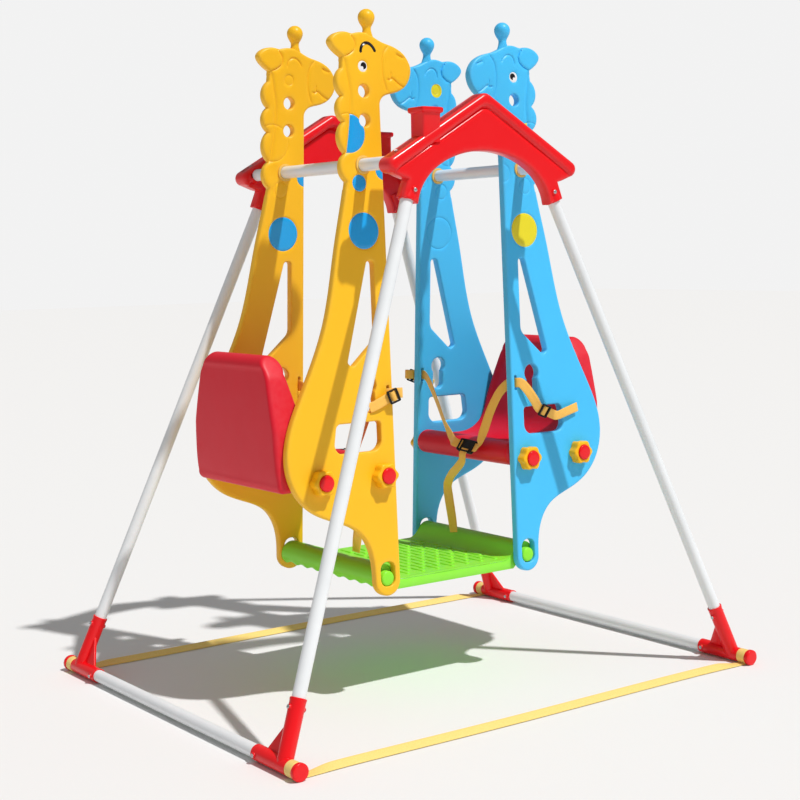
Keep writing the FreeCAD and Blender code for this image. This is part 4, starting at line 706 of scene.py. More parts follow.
def panel_holes(floor_gap):
    """Window, keyhole, slots, hand hole, neck, bearing and bolt holes, with their edge radii."""
    tall = rounded([(20, -236, 9), (20, -430, 30), (-56, -497, 9), (-71, -486, 8), (-1, -236, 9)])
    x, y, r, mouth = -12.0, -544.0, 24.0, math.radians(48)
    start = (x + r * math.sin(mouth), y - r * math.cos(mouth))
    end = (x - r * math.sin(mouth), y - r * math.cos(mouth))
    tail = y - 49
    key = np.vstack([arc_points(start, (x, y + r), end), line_points(end, (end[0], tail)),
                     arc_points((end[0], tail), (x, tail - r * math.sin(mouth)), (start[0], tail)),
                     line_points((start[0], tail), start)])
    belt = rounded(rectangle(42, 50, -587, -547, 3.5), 2.5)
    hand = rounded([(-124, -708, 24), (20, -708, 28), (20, -634, 10), (-112, -634, 14)])
    low, high = -1032 - 19 - floor_gap - 0.52, -1032 + 23 + 19.3
    slot = rounded(rectangle(0.7, 45.3, low, high, 19.3))
    holes = [(tall, HOLE_ROUND), (key, HOLE_ROUND), (belt, 1.6), (hand, HOLE_ROUND), (slot, 3.0),
             (circle_points(13, 181, 16), HOLE_ROUND), (circle_points(12, 109, 16), HOLE_ROUND),
             (circle_points(0, 0, 19.55), FIT_ROUND)]
    return holes + [(circle_points(f, r, 5.5, 2.0), FIT_ROUND) for _, f, r in BOLT_PLACES]


BROW = spline_points([(7.5, 276), (10.5, 288), (18, 296), (28, 298.5), (38, 295), (46.5, 287),
                      (51.5, 278)], (0.1, 1), (0.35, -1), 2.0)
MUZZLE = spline_points([(93, 297), (80, 280), (73, 255), (72, 235), (75, 210), (84, 184)],
                       (-0.6, -1), (0.4, -1), 2.5)
NOSTRIL = line_points((121, 275), (138, 269), 2.0)
MOUTH = spline_points([(88, 213.5), (94, 211.5), (100, 215.5), (107, 213), (118, 205), (138, 195)],
                      (1, -0.5), (1, -0.3), 2.0)
SMILE = spline_points([(98, 229), (97, 220), (100, 215.5)], (0, -1), (0.6, -0.8), 2.0)
EAR_FOLD = spline_points([(-22, 316), (-11, 302), (-9, 287), (-22, 272), (-42, 265)], (0.7, -1),
                         (-1, -0.1), 2.5)
MANE = spline_points([(-41, 255), (-36, 225), (-30, 190), (-31, 120), (-38, 70), (-46, 27)],
                     (0.3, -1), (-0.2, -1), 3.0)
EYE_CIRCLE = (12.5, 241, 13.5)
EYE = circle_points(*EYE_CIRCLE, 2.5)
DOTS = {"upper": (-38, 76, 48), "small": (-13, -45, 20.5), "large": (-6, -162, 45),
        "front": (62, -12, 24)}
DOT_RINGS = {name: circle_points(*dot) for name, dot in DOTS.items()}
EYE_DISC = circle_points(9.5, 238, 19, 2.5)
PUPIL = circle_points(15.3, 242.5, 8.8, 2.0)
GLINT = circle_points(10.2, 236.6, 4.4, 1.5)


def circle_distance(points, x, y, radius):
    """Distance of each point outward from a circle."""
    return np.hypot(points[:, 0] - x, points[:, 1] - y) - radius


def run_distance(points, line):
    """Distance of each point to an open run."""
    return edge_distance(points, line[:-1], line[1:])[0]


def in_loop(points, loop):
    """Whether each point lies inside a closed loop."""
    return inside(points, loop, np.roll(loop, -1, axis=0))


def head_relief(points):
    """Relief of both faces in mm: bell-shaped grooves, raised ear, sunk eye and rings of the dots.

    groove = depth * exp(-(distance / width)^2), added up over the lines.
    """
    height = np.zeros(len(points))
    for line, wide, deep in ((BROW, 2.4, 2.4), (MUZZLE, 2.4, 2.4), (NOSTRIL, 2.2, 3.2),
                             (MOUTH, 2.0, 2.8), (SMILE, 1.7, 1.8), (MANE, 4.5, 3.6)):
        height -= deep * bell(run_distance(points, line), wide)
    fold = run_distance(points, EAR_FOLD)
    behind = points[:, 0] < np.interp(points[:, 1], EAR_FOLD[::-1, 1], EAR_FOLD[::-1, 0])
    on_ear = behind & (points[:, 1] > 262) & (points[:, 0] < -8)
    height -= np.where(on_ear, 0.0, 3.0 * bell(fold, 3.5))
    height += np.where(on_ear, 1.6 * (1 - bell(fold, 2.5)), 0.0)
    from_eye = circle_distance(points, *EYE_CIRCLE)
    height -= soft_edge(from_eye, 0.7) + 1.3 * bell(from_eye, 1.8)
    for dot in DOTS.values():
        height -= 1.3 * bell(circle_distance(points, *dot), 1.8)
    return height


BROW_WIDTH = 4.0


def brow_border():
    """Closed line round the printed brow: the brow line moved to both sides with round ends."""
    ahead = unit_rows(np.gradient(BROW, axis=0))
    side = left_of(ahead) * BROW_WIDTH
    tip = BROW[-1] + ahead[-1] * BROW_WIDTH * 0.9
    root = BROW[0] - ahead[0] * BROW_WIDTH * 0.9
    return np.vstack([BROW + side, tip, (BROW - side)[::-1], root])


MARKS = [(BROW, 2.4), (MUZZLE, 2.4), (NOSTRIL, 1.8), (MOUTH, 1.8), (SMILE, 1.6), (EAR_FOLD, 2.6),
         (MANE, 4.0)]
EYE_RINGS = [circle_points(*EYE_CIRCLE[:2], r, 2.5) for r in (11.5, 15.0)]
# Printed marks of each panel's outer and inner face: shape and finish number
PRINTS = {("yellow_near", 1): (("brow", 2), ("eye", 3), ("pupil", 2), ("glint", 3), ("upper", 1),
                               ("small", 1), ("large", 1), ("front", 1)),
          ("yellow_far", -1): (("large", 1), ("front", 1)),
          ("blue_near", 1): (("eye", 3), ("pupil", 2), ("glint", 3), ("upper", 1), ("large", 1)),
          ("blue_far", -1): (("disc", 1),),}
# Faces that the view hides carry the same set as the near panels' outer faces
PRINTS[("yellow_far", 1)] = PRINTS[("yellow_near", 1)]
PRINTS[("blue_far", 1)] = PRINTS[("blue_near", 1)]
PRINTS[("yellow_near", -1)] = PRINTS[("yellow_far", -1)]
PRINTS[("blue_near", -1)] = PRINTS[("blue_far", -1)]


def print_numbers(corner, face, middles):
    """Finish number of each triangle of a face: the last printed mark that its middle lies in."""
    loops = {"brow": brow_border(), "eye": EYE, "disc": EYE_DISC, "pupil": PUPIL, "glint": GLINT,
             **DOT_RINGS}
    numbers = np.zeros(len(middles), int)
    for shape, number in PRINTS[(corner, face)]:
        within = in_loop(middles, loops[shape])
        if shape == "upper":
            within &= middles[:, 0] > np.interp(middles[:, 1], MANE[::-1, 1], MANE[::-1, 0])
        numbers[within] = number
    return numbers


# Rise, half width in the panel's plane and half width across it, from the root up to the top
BALL = ((300, 19.0, 7.0), (308, 18.6, 9.6), (314, 17.4, 10.6), (319, 15.2, 11.0), (324, 12.9, 11.0),
        (329, 11.2, 10.7), (334, 10.4, 10.4), (338, 10.8, 10.8), (342, 12.6, 12.6),
        (346, 15.2, 15.2), (350, 17.4, 17.4), (355, 19.5, 19.5), (360, 20.7, 20.7),
        (364, 21.0, 21.0), (369, 20.3, 20.3), (374, 18.0, 18.0), (378, 14.8, 14.8),
        (381, 11.0, 11.0), (383, 6.8, 6.8), (383.8, 3.0, 3.0), (384, 0.4, 0.4))


def ball_shell(place):
    """Ball on a neck that flares along the head's top edge: every ring is an ellipse."""
    angle = np.linspace(0, 2 * math.pi, 56, endpoint=False)
    rises = np.array([row[0] for row in BALL], float)
    fine = np.unique(np.concatenate([rises, (rises[1:] + rises[:-1]) / 2]))
    wide, deep = (np.interp(fine, rises, [row[k] for row in BALL]) for k in (1, 2))
    return loft([place(37.0 + a * np.cos(angle), b * np.sin(angle), r) for r, a,
                 b in zip(fine, wide, deep)])


def make_panels():
    """Four side panels: one flat mesh for each colour, raised to its relief on both faces."""
    borders = [brow_border(), EYE, EYE_DISC, PUPIL, GLINT] + EYE_RINGS + list(DOT_RINGS.values())
    dots = [(np.vstack([loop, loop[:1]]), 1.5) for loop in DOT_RINGS.values()]
    outline = panel_outline()
    for side, side_x in (("yellow", -1), ("blue", 1)):
        holes = panel_holes(SLOT_GAPS[side])
        points, triangles, depth, radius = flat_mesh([outline] + [h for h, _ in holes],
                                                     [EDGE_ROUND] + [r for _, r in holes],
                                                     MARKS + dots, borders, 7.5)
        relief = head_relief(points) * np.clip(depth / 4.0, 0, 1)
        mane = (points[:, 0] < -25) & (points[:, 1] > -60) & (points[:, 1] < 250)
        relief -= np.where(mane, 2.2 * np.clip(1 - depth / 13.0, 0, 1) ** 2, 0)
        height = PANEL_HALF - edge_drop(depth, radius) + relief
        rim = np.clip(1 - depth / 9.0, 0, 1)
        middles = points[triangles].mean(1)
        for far, side_y in (("near", -1), ("far", 1)):
            corner = side + "_" + far
            place = panel_place(side_x, side_y)
            shell = slab(points, triangles, height, -height, place,
                         print_numbers(corner, 1, middles), print_numbers(corner, -1, middles), 0,
                         rim)
            dot = "dot_blue" if side == "yellow" else "dot_yellow"
            piece("giraffe_panel_" + corner, [shell, ball_shell(place)],
                  [side, dot, "ink_black", "ink_white"], side + "_swing", ["panel_" + corner])


# ---------------------------------------------------------------- tube frame
def tube(name, start, end, node):
    """Steel tube open at both ends: outer wall, rounded cut, inner wall."""
    start, end = np.asarray(start, float), np.asarray(end, float)
    length = np.linalg.norm(end - start)
    wall, lip = 1.5, 0.5
    profile = [(0, TUBE_R - wall), (0, TUBE_R - lip), (lip, TUBE_R), (length - lip, TUBE_R),
               (length, TUBE_R - lip), (length, TUBE_R - wall)]
    piece(name, [turned(profile, start, end - start, 64, closed=True)], ["tube"], "frame", [node])


def leg_line(side_x, side_y):
    """Foot point, unit direction and length up to the gable sleeve's mouth of one leg."""
    foot = np.array([side_x * BASE_X, side_y * LEG_FOOT_Y, BASE_Z])
    head = LEG_HEAD * np.array([side_x, side_y, 1])
    length = np.linalg.norm(head - foot)
    return foot, (head - foot) / length, length


def make_tubes():
    """Crossbars, base rails and legs."""
    for side, side_x in (("yellow", -1), ("blue", 1)):
        tube("crossbar_tube_" + side, (side_x * BAR_X, -BAR_REACH, BAR_Z),
             (side_x * BAR_X, BAR_REACH, BAR_Z), "crossbar_" + side)
        tube("base_rail_" + side, (side_x * BASE_X, -495, BASE_Z), (side_x * BASE_X, 495, BASE_Z),
             "base_tube_" + side)
    for corner, side_x, side_y in CORNERS:
        foot, direction, length = leg_line(side_x, side_y)
        tube("leg_tube_" + corner, foot + direction * 34, foot + direction * (length + 48),
             "leg_" + corner)


def foot_bolt_places(side_x, side_y):
    """Middle and direction of a foot's two through bolts: leg sleeve, base sleeve."""
    foot, direction, _ = leg_line(side_x, side_y)
    across = unit(np.array([1.0, 0, 0]) - direction * direction[0])
    return ((foot + direction * 124, across),
            (np.array([side_x * BASE_X, side_y * 419.0, BASE_Z]), np.array([1.0, 0, 0])))


SLEEVE_R = 19.0


def make_feet():
    """Red feet: leg and base sleeves with beaded mouths, strap neck, thick web and bolt bosses."""
    for corner, side_x, side_y in CORNERS:
        foot, direction, _ = leg_line(side_x, side_y)
        outward = np.array([0, side_y, 0.0])
        inner = np.array([side_x * BASE_X, side_y * 405.0, BASE_Z])
        bore = 16.2
        sleeve = [(92, bore), (0.5, bore), (0, bore + 0.6), (0, 18.2), (0.8, SLEEVE_R),
                  (136, SLEEVE_R), (138, 18.6), (138.6, 17.6), (168.6, 17.5), (169, 17.0),
                  (169, 14), (140, 14)]
        leg = [(33, bore), (146.4, bore), (147, bore + 0.8), (147, 18.6), (146, 19.6), (143, 19.8),
               (140, 19.2), (136, SLEEVE_R), (14, SLEEVE_R), (-2, 18.6), (-12, 14.0), (-15, 6.0)]
        shells = [turned(sleeve, inner, outward, 64, closed=True),
                  turned(leg, foot, direction, 64, closed=True)]
        normal = unit(np.cross(direction, outward))
        span = LEG_FOOT_Y - 405 - 26
        rise = np.array([112 * direction[1] * side_y, 112 * np.linalg.norm(direction[[0, 2]])])
        upright = unit(direction - outward * (direction @ outward))
        outline = rounded([(8, 0, 2), (-span, 0, 4), (rise[0] - 2, rise[1], 3), (8, 20, 2)], 3.0)
        if loop_area(outline) < 0:
            outline = outline[::-1]
        points, triangles, depth, radius = flat_mesh([outline], [1.8], spacing=9.0)
        height = 3.5 - edge_drop(depth, radius)
        ridge_line = np.array([(-6.0, 8.0), (rise[0] * 0.86 - 17, rise[1] * 0.86)])
        ridge = bell(run_distance(points, ridge_line), 2.2)
        height = height + 0.8 * ridge * np.clip(depth / 3, 0, 1)
        shells.append(slab(points, triangles, height, -height,
                           plate_in(foot, outward, upright, normal)))
        for middle, across in foot_bolt_places(side_x, side_y):
            boss = [(-22, 0.5), (-22, 5.4), (-21, 6.4), (-19, 7.0), (19, 7.0), (21, 6.4), (22, 5.4),
                    (22, 0.5)]
            shells.append(turned(boss, middle, across, 32))
        piece("foot_socket_" + corner, shells, ["red"], "frame", ["foot_" + corner])


def make_caps():
    """End caps: domed discs with a rounded rim and a plug into the foot's neck."""
    shells = []
    for _, side_x, side_y in CORNERS:
        start = np.array([side_x * BASE_X, side_y * 574.0, BASE_Z])
        profile = [(-20, 0.5), (-20, 13.2), (-19, 13.8), (0, 13.8), (0, 19.8), (0.6, 20.7),
                   (1.6, 21), (8.6, 21), (10.2, 20.6), (11.3, 19.4), (11.8, 17.4), (11.95, 12),
                   (12, 6), (12, 0.5)]
        shells.append(turned(profile, start, (0, side_y, 0), 64))
    piece("foot_caps", shells, ["red"], "frame", ["foot_end_caps"])


def screw_head(place, axis, radius, height, number=0):
    """Pan head with a cross recess: a dome whose middle is cut by two crossed slots."""
    axis, first, second = across_axes(axis)
    sides, rows = 48, 15
    share = np.linspace(1, 0.02, rows)
    angle = np.linspace(0, 2 * math.pi, sides, endpoint=False)
    r = radius * share[:, None]
    x, y = r * np.cos(angle), r * np.sin(angle)
    dome = height * np.sqrt(np.clip(1 - (0.93 * share) ** 4, 0, 1))[:, None]
    arm = np.minimum(np.abs(x), np.abs(y)) / (0.13 * radius)
    reach = np.maximum(np.abs(x), np.abs(y)) / (0.55 * radius)
    cut = np.exp(-arm**4) * np.exp(-reach**6)
    out = dome - 0.75 * height * cut
    rings = np.concatenate([np.zeros((1, sides)), out])
    x, y = np.concatenate([x[:1], x]), np.concatenate([y[:1], y])
    points = (np.asarray(place, float) + x[..., None] * first + y[..., None] * second
              + rings[..., None] * axis)
    return loft(points, number=number)


def make_bolts():
    """Through bolts of the feet, a cross-recessed head at each end."""
    shells = []
    for _, side_x, side_y in CORNERS:
        for middle, across in foot_bolt_places(side_x, side_y):
            shells.append(turned([(-22, 2.4), (22, 2.4)], middle, across, 16))
            for way in (-1, 1):
                shells.append(screw_head(middle + across * (way * 22), across * way, 4.8, 2.4))
    piece("foot_bolt_set", shells, ["steel"], "frame", ["foot_bolts"])


# ---------------------------------------------------------------- gables
PITCH = math.radians(29.9)
GABLE_FRONT, ROOF_DEPTH, PLATE_SETBACK, PLATE_THICK = 362.0, 56.0, 6.0, 36.0


RIDGE_Z = 1526


def roof_line(x, depth):
    """Height of the roof's slope at x, at a depth square to the slope."""
    return RIDGE_Z - abs(x) * math.tan(PITCH) - depth / math.cos(PITCH)


def gable_loops():
    """Outline of the plate, and of the raised roof edge, as (x, z) loops."""
    ex, er = 280.0, 20.0
    ez = roof_line(ex, er)
    top = (ex + er * math.sin(PITCH), ez + er * math.cos(PITCH))
    tip, low = (ex + er, ez), (ex + er * math.sin(0.2), ez - er * math.cos(0.2))
    ridge_r = 26.0
    start = (ridge_r * math.sin(PITCH), roof_line(ridge_r * math.sin(PITCH), 0))
    ridge_top = RIDGE_Z - ridge_r * (1 / math.cos(PITCH) - 1)
    leg = leg_line(1, 1)[1]
    slope = np.array([leg[0], leg[2]]) / math.hypot(leg[0], leg[2])
    side = np.array([slope[1], -slope[0]])
    mouth = LEG_HEAD[[0, 2]]
    outer, inner = mouth + side * 21, mouth - side * 21
    neck = outer + slope * 46
    under = (low[0] - 30, low[1] - 11)
    begin = math.asin((inner[1] - 1240) / 141)
    turn = begin + (math.pi / 2 - begin) * np.linspace(0, 1, 60)
    arch = np.stack([212 * np.cos(turn), 1240 + 141 * np.sin(turn)], -1)[:-1]
    right = np.vstack([line_points(start, top), arc_points(top, tip, low),
                       polyline(low, under, neck, outer, arch[0]), arch])
    ridge = arc_points((-start[0], start[1]), (0, ridge_top), start)
    plate = np.vstack([right, [[0, 1381.0]], right[::-1] * [-1, 1], ridge])
    foot = (ex, ez - er)
    inner_end = (ex - er, roof_line(ex - er, 34))
    half = np.vstack([line_points(start, top), arc_points(top, tip, foot),
                      line_points(foot, inner_end)])
    band = np.vstack([half, rounded([(*inner_end, 0), (0, roof_line(0, 29), 34),
                                     (-inner_end[0], inner_end[1], 0)], closed=False)[:-1],
                      half[::-1] * [-1, 1], ridge])
    return clean_loop(plate), clean_loop(band)


def clean_loop(loop):
    """The loop without points that lie on their neighbours."""
    gap = np.linalg.norm(loop - np.roll(loop, 1, axis=0), axis=1)
    return loop[gap > 0.05]


def box_ring(x, y, corner, height, middle):
    """Rounded rectangle at a height round a middle point, always with the same number of points."""
    quarter = np.linspace(0, math.pi / 2, 9)
    centres = [(x - corner, y - corner, 0), (corner - x, y - corner, 1),
               (corner - x, corner - y, 2), (x - corner, corner - y, 3)]
    loop = np.vstack([np.stack([cx + corner * np.cos(quarter + k * math.pi / 2),
                                cy + corner * np.sin(quarter + k * math.pi / 2)], -1) for cx, cy,
                      k in centres])
    return np.column_stack([loop[:, 0] + middle[0], loop[:, 1] + middle[1],
                            np.full(len(loop), height)])


def chimney():
    """Chimney: straight body, rolled rim, and an open hollow with a floor."""
    middle = (-172.0, -(GABLE_FRONT - ROOF_DEPTH / 2))
    steps = [(27.0, 26.0, 5, roof_line(199, 12)), (27.0, 26.0, 5, 1464.5), (28, 27, 5, 1467),
             (31, 30, 5.5, 1468.2), (32.6, 31.6, 6, 1470.4), (33, 32, 6, 1476.5),
             (32.2, 31.2, 6, 1479.8), (29.6, 28.6, 6, 1481), (25, 24, 5, 1481),
             (23.6, 22.6, 5, 1480), (23, 22, 5, 1477), (23, 22, 5, 1452), (19, 18, 4, 1451)]
    return loft([box_ring(x, y, c, z, middle) for x, y, c, z in steps])


SCREW_X, SCREW_Z, ROOF_SCREW_X = 225.0, 1283.0, 262.0


def make_gables():
    """Red roof gables: arched plate, raised roof edge, sleeves, bosses and a chimney."""
    plate, band = gable_loops()
    inner_edge = rounded([(-262, roof_line(262, 31), 0), (0, roof_line(0, 31), 34),
                          (262, roof_line(262, 31), 0)], 3.0, closed=False)
    flat = flat_mesh([plate], [6.0], [(inner_edge, 2.2)], spacing=9.0)
    edge = flat_mesh([band], [12.0], spacing=6.0)
    plate_y = -(GABLE_FRONT - PLATE_SETBACK - PLATE_THICK / 2)
    band_y = -(GABLE_FRONT - ROOF_DEPTH / 2)

    front_plate = PLATE_THICK / 2 - edge_drop(flat[2], flat[3])
    groove = 4.0 * bell(run_distance(flat[0], inner_edge), 2.4)
    front_plate = front_plate - groove * np.clip(flat[2] / 6.0, 0, 1)
    front_band = ROOF_DEPTH / 2 - edge_drop(edge[2], edge[3])
    shells = []
    for mesh, front, y in ((flat, front_plate, plate_y), (edge, front_band, band_y)):
        upright = plate_in(np.array([0, y, 0]), *np.eye(3)[[0, 2]], np.array([0, -1.0, 0]))
        shells.append(slab(mesh[0], mesh[1], front, -front, upright,
                           rim=np.clip(1 - mesh[2] / 9, 0, 1)))
    for side_x in (-1, 1):
        foot, direction, length = leg_line(side_x, -1)
        sleeve = [(50, 16.2), (0.6, 16.2), (0, 17), (0, 20.4), (0.8, 21.6), (3.5, 21.9), (8, 21.3),
                  (54, 21.0), (56, 19)]
        shells.append(turned(sleeve, foot + direction * length, direction, 64, closed=True))
        boss = [(4, 16.2), (4, 21), (40, 22), (48.6, 22), (50, 20.6), (50, 17), (49.2, 16.2)]
        shells.append(turned(boss, (side_x * BAR_X, -356, BAR_Z), (0, 1, 0), 64, closed=True))
        shells.append(turned([(12, 0.5), (12, 9.5), (3, 9.0), (0.6, 8.0), (0, 6.8), (0, 0.5)],
                             (side_x * SCREW_X, -359, SCREW_Z), (0, 1, 0), 48))
    shells.append(chimney())
    half_turn = np.array([-1.0, -1.0, 1.0])
    for far in ("near", "far"):
        turn = 1 if far == "near" else half_turn
        placed = [(s[0] * turn, *s[1:]) for s in shells]
        piece("roof_gable_" + far, placed, ["red"], "frame", ["gable_" + far])
        screws = []
        for side in (-1, 1):
            screws.append(screw_head(np.array([side * SCREW_X, -359, SCREW_Z]) * turn,
                                     np.array([0, -1.0, 0]) * turn, 5.0, 2.6))
            out = np.array([side * math.sin(PITCH), 0, math.cos(PITCH)])
            spot = np.array([side * ROOF_SCREW_X, band_y, roof_line(ROOF_SCREW_X, 0)])
            screws.append(screw_head(spot * turn, out * turn, 5.0, 2.6))
        piece("gable_screw_set_" + far, screws, ["steel"], "frame", ["gable_screws_" + far])


# ---------------------------------------------------------------- bushings and knobs
def make_bushings():
    """Two-flanged bearings: flanges lie in the panel's planes, the bore follows the crossbar."""
    angle = np.linspace(0, 2 * math.pi, 72, endpoint=False)
    bore = 16.12
    steps = [(-11.0, 19.4, 0), (-11.5, 19.4, 0), (-11.6, 22.0, 0), (-12.2, 22.5, 0),
             (-14.4, 22.5, 0), (-15.2, 22.1, 0), (-15.5, 21.3, 0), (-15.5, bore + 1.0, 1),
             (-15.1, bore + 0.3, 1), (-14.4, bore, 1), (14.4, bore, 1), (15.1, bore + 0.3, 1),
             (15.5, bore + 1.0, 1), (15.5, 21.3, 0), (15.2, 22.1, 0), (14.4, 22.5, 0),
             (12.2, 22.5, 0), (11.6, 22.0, 0), (11.5, 19.4, 0), (11.0, 19.4, 0)]
    for corner, side_x, side_y in CORNERS:
        place = panel_place(side_x, side_y)
        rings = []
        for out, radius, along_bar in steps:
            rise = radius * np.sin(angle)
            if along_bar:
                rise = (rise - out * math.sin(LEAN)) / math.cos(LEAN)
            rings.append(place(radius * np.cos(angle), out, rise))
        side = corner.split("_")[0]
        piece("crossbar_bushing_" + corner, [loft(rings, closed=True)], ["bushing"],
              side + "_swing", ["bushing_" + corner])


def make_knobs():
    """Six-lobed hand knobs with a recess, and the domed button that fills it."""
    angle = np.linspace(0, 2 * math.pi, 120, endpoint=False)
    lobes = 30.5 + 2.5 * np.cos(6 * angle)
    rim = [(0.0, -1.2), (1.2, 0.0), (12.0, 0.0), (22.6, 0.0), (24.4, -0.5), (25.9, -1.7),
           (26.7, -3.1), (27.0, -4.6)]
    dish = [(26.8, 22.4), (26.5, 21.0), (25.9, 20.4), (21.2, 20.15), (21.0, 19.0), (21.0, 0.5)]
    button = [(21.3, 0.5), (21.3, 19.2), (22.0, 19.95), (29.2, 20.0), (30.3, 19.7), (31.1, 18.9),
              (31.5, 17.6), (31.75, 15.0), (31.92, 10.0), (32.0, 5.0), (32.0, 0.5)]
    for corner, side_x, side_y in CORNERS:
        place = panel_place(side_x, side_y)
        for end, forward, rise in BOLT_PLACES:
            rings = [(h, lobes + inset) for h, inset in rim] + [(h, np.full(120, r)) for h,
                                                                r in dish]
            base = PANEL_HALF + 0.3
            shell = loft([place(forward + r * np.cos(angle), base + h, rise + r * np.sin(angle))
                          for h, r in rings])
            label = corner + "_" + end
            piece("hand_knob_" + label, [shell], ["knob"], "knob_" + label, ["knob_" + label])
            disc = loft([place(forward + r * np.cos(angle[::2]), base + h,
                               rise + r * np.sin(angle[::2])) for h, r in button])
            piece("knob_button_" + label, [disc], ["button"], "knob_" + label, ["button_" + label])


# ---------------------------------------------------------------- seats
def loop_triangles(loop):
    """Triangles that fill a closed loop, as numbers of its points."""
    count = len(loop)
    edges = [(i, (i + 1) % count) for i in range(count)]
    result = delaunay_2d_cdt([Vector(p) for p in loop.tolist()], edges, [], 1, 1e-7)
    number = np.array([origin[0] for origin in result[3]])
    return number[np.array(result[2])]


def loop_normals(loop):
    """Outward direction at each point of a counter-clockwise loop."""
    return -left_of(unit_rows(np.roll(loop, -1, axis=0) - np.roll(loop, 1, axis=0)))


def cross_body(loop, stations, place, edge_round, shift=None, number=0):
    """Closed body from a side view: the loop repeated across, with round edges at both ends.

    stations: share of the half width from -1 to 1 and depth from the end in mm at each row;
    shift(loop, share) gives extra inward relief; place(forward, share, rise) gives the point.
    """
    if loop_area(loop) < 0:
        loop = loop[::-1]
    normals = loop_normals(loop)
    rows, rims = [], []
    for share, depth in stations:
        short = max(edge_round - depth, 0)
        inset = edge_round - math.sqrt(edge_round**2 - short**2)
        extra = 0 if shift is None else shift(loop, share)
        drawn = loop - normals * (inset + extra)[:,
                                                 None] if np.ndim(extra) else loop - normals * inset
        rows.append(place(drawn[:, 0], share, drawn[:, 1]))
        rims.append(np.full(len(loop), max(0.0, 1 - depth / 6.0)))
    cap = loop_triangles(loop)
    m, n = len(stations), len(loop)
    faces = [(grid_faces(m, n), number), (cap[:, ::-1], number), (cap + (m - 1) * n, number)]
    return np.vstack(rows), faces, {"rim": np.concatenate(rims)}


def seat_loop():
    """Side view of the seat: flat underside, rolled nose, dipped pan, swept-up backrest."""
    return clean_loop(np.vstack([line_points((-257, -792), (34, -792), 8.0),
                                 arc_points((34, -792), (67, -759), (34, -726)),
                                 spline_points([(34, -726), (-11, -737), (-60, -741), (-118, -737),
                                                (-166, -707), (-186, -657), (-203, -579),
                                                (-222, -505)], (-1, 0), (-0.25, 1), 5.0),
                                 arc_points((-222, -505), (-234, -464), (-252, -460)),
                                 arc_points((-252, -460), (-270, -469), (-276, -494)),
                                 spline_points([(-276, -494), (-279, -600), (-277, -700),
                                                (-270, -770)], (-0.05, -1), (0.2, -1), 8.0),
                                 arc_points((-270, -770), (-266, -785), (-257, -792))]))


def panel_inner(rise):
    """Distance of a panel's inner face from the middle plane at a rise from the crossbar."""
    return PANEL_MIDDLE - PANEL_HALF / math.cos(LEAN) - rise * math.tan(LEAN)


def seat_half_width():
    """Rise and half width of the seat: panel gap below, then a rounded taper to the top."""
    low, shoulder = -802.0, -640.0
    line = rounded([(panel_inner(low) - 0.5, low, 0), (panel_inner(shoulder) - 0.5, shoulder, 60),
                    (164, -510, 60), (118, -450, 0)], 2.0, closed=False)
    return line[:, 1], line[:, 0]


def smooth_step(value, low, high):
    """3 t^2 - 2 t^3, with t from 0 at the low value to 1 at the high one."""
    t = np.clip((value - low) / (high - low), 0, 1)
    return t * t * (3 - 2 * t)


def make_seats():
    """Blow-moulded seat shells: shallow dished pan and backrest, round edges all about."""
    loop = seat_loop()
    rises, widths = seat_half_width()
    edge = 12.0
    near_end = [0.0, 0.6, 1.6, 3.0, 5.0, 7.5, 10.0, 13.0, 18.0, 24.0, 32.0, 42.0, 54.0, 68.0]
    depths = near_end + [84.0, 102.0, 122.0, 144.0, 168.0]
    middle = 205.0
    stations = [(-(1 - d / middle), d) for d in depths] + [(0.0, middle)]
    stations += [((1 - d / middle), d) for d in depths[::-1]]
    on_pan = (loop[:, 1] > -745) & (loop[:, 0] > -215) & (loop[:, 0] < 30)
    on_rest = (loop[:, 0] > -232) & (loop[:, 1] > -735) & (loop[:, 1] < -480)
    lengthwise = smooth_step(loop[:, 0], -215.0, -190.0) * smooth_step(-loop[:, 0], -26.0, 4.0)
    lengthwise = np.where(on_pan | on_rest, np.maximum(lengthwise,
                                                       smooth_step(-loop[:, 1], 478.0, 500.0)), 0)
    lengthwise *= smooth_step(-loop[:, 0], -26.0, 4.0)

    def shift(_, share):
        side = smooth_step(1 - abs(share), 0.10, 0.17)
        return 5.0 * lengthwise * side

    for side, side_x in (("yellow", -1), ("blue", 1)):
        def place(forward, share, rise):
            half = np.interp(rise, rises, widths)
            return np.stack([side_x * (BAR_X - forward), share * half, BAR_Z + rise], -1)
        piece("moulded_seat_" + side, [cross_body(loop, stations, place, edge, shift)], ["seat"],
              side + "_swing", ["seat_" + side], 50.0)


# ---------------------------------------------------------------- footboard
TREAD_Z, BOARD_LOW, HEM_Z = 310.0, 282.0, PIN_Z - 22.0
BOARD_HALF = panel_inner(PIN_Z - BAR_Z) - 1.5
SKIN = 4.0


def board_skin():
    """Outer line of the footboard from hem to hem, and the same line a wall's thickness inside."""
    radius, spread = 34.0, 34.0 * math.sin(math.radians(45))
    hem_x = PIN_X + math.sqrt(radius**2 - 22.0**2)
    start = (PIN_X - spread, PIN_Z + spread)
    roll = arc_points(start, (PIN_X + spread, PIN_Z + spread), (hem_x, HEM_Z))
    half = np.vstack([line_points((0, TREAD_Z), (168, TREAD_Z), 4.0),
                      spline_points([(168, TREAD_Z), (180, TREAD_Z + 3.2), (200, TREAD_Z + 20),
                                     start], (1, 0), (0.72, 0.7), 3.0), roll, [[hem_x, HEM_Z]]])
    return half, half - left_of(unit_rows(np.gradient(half, axis=0))) * SKIN


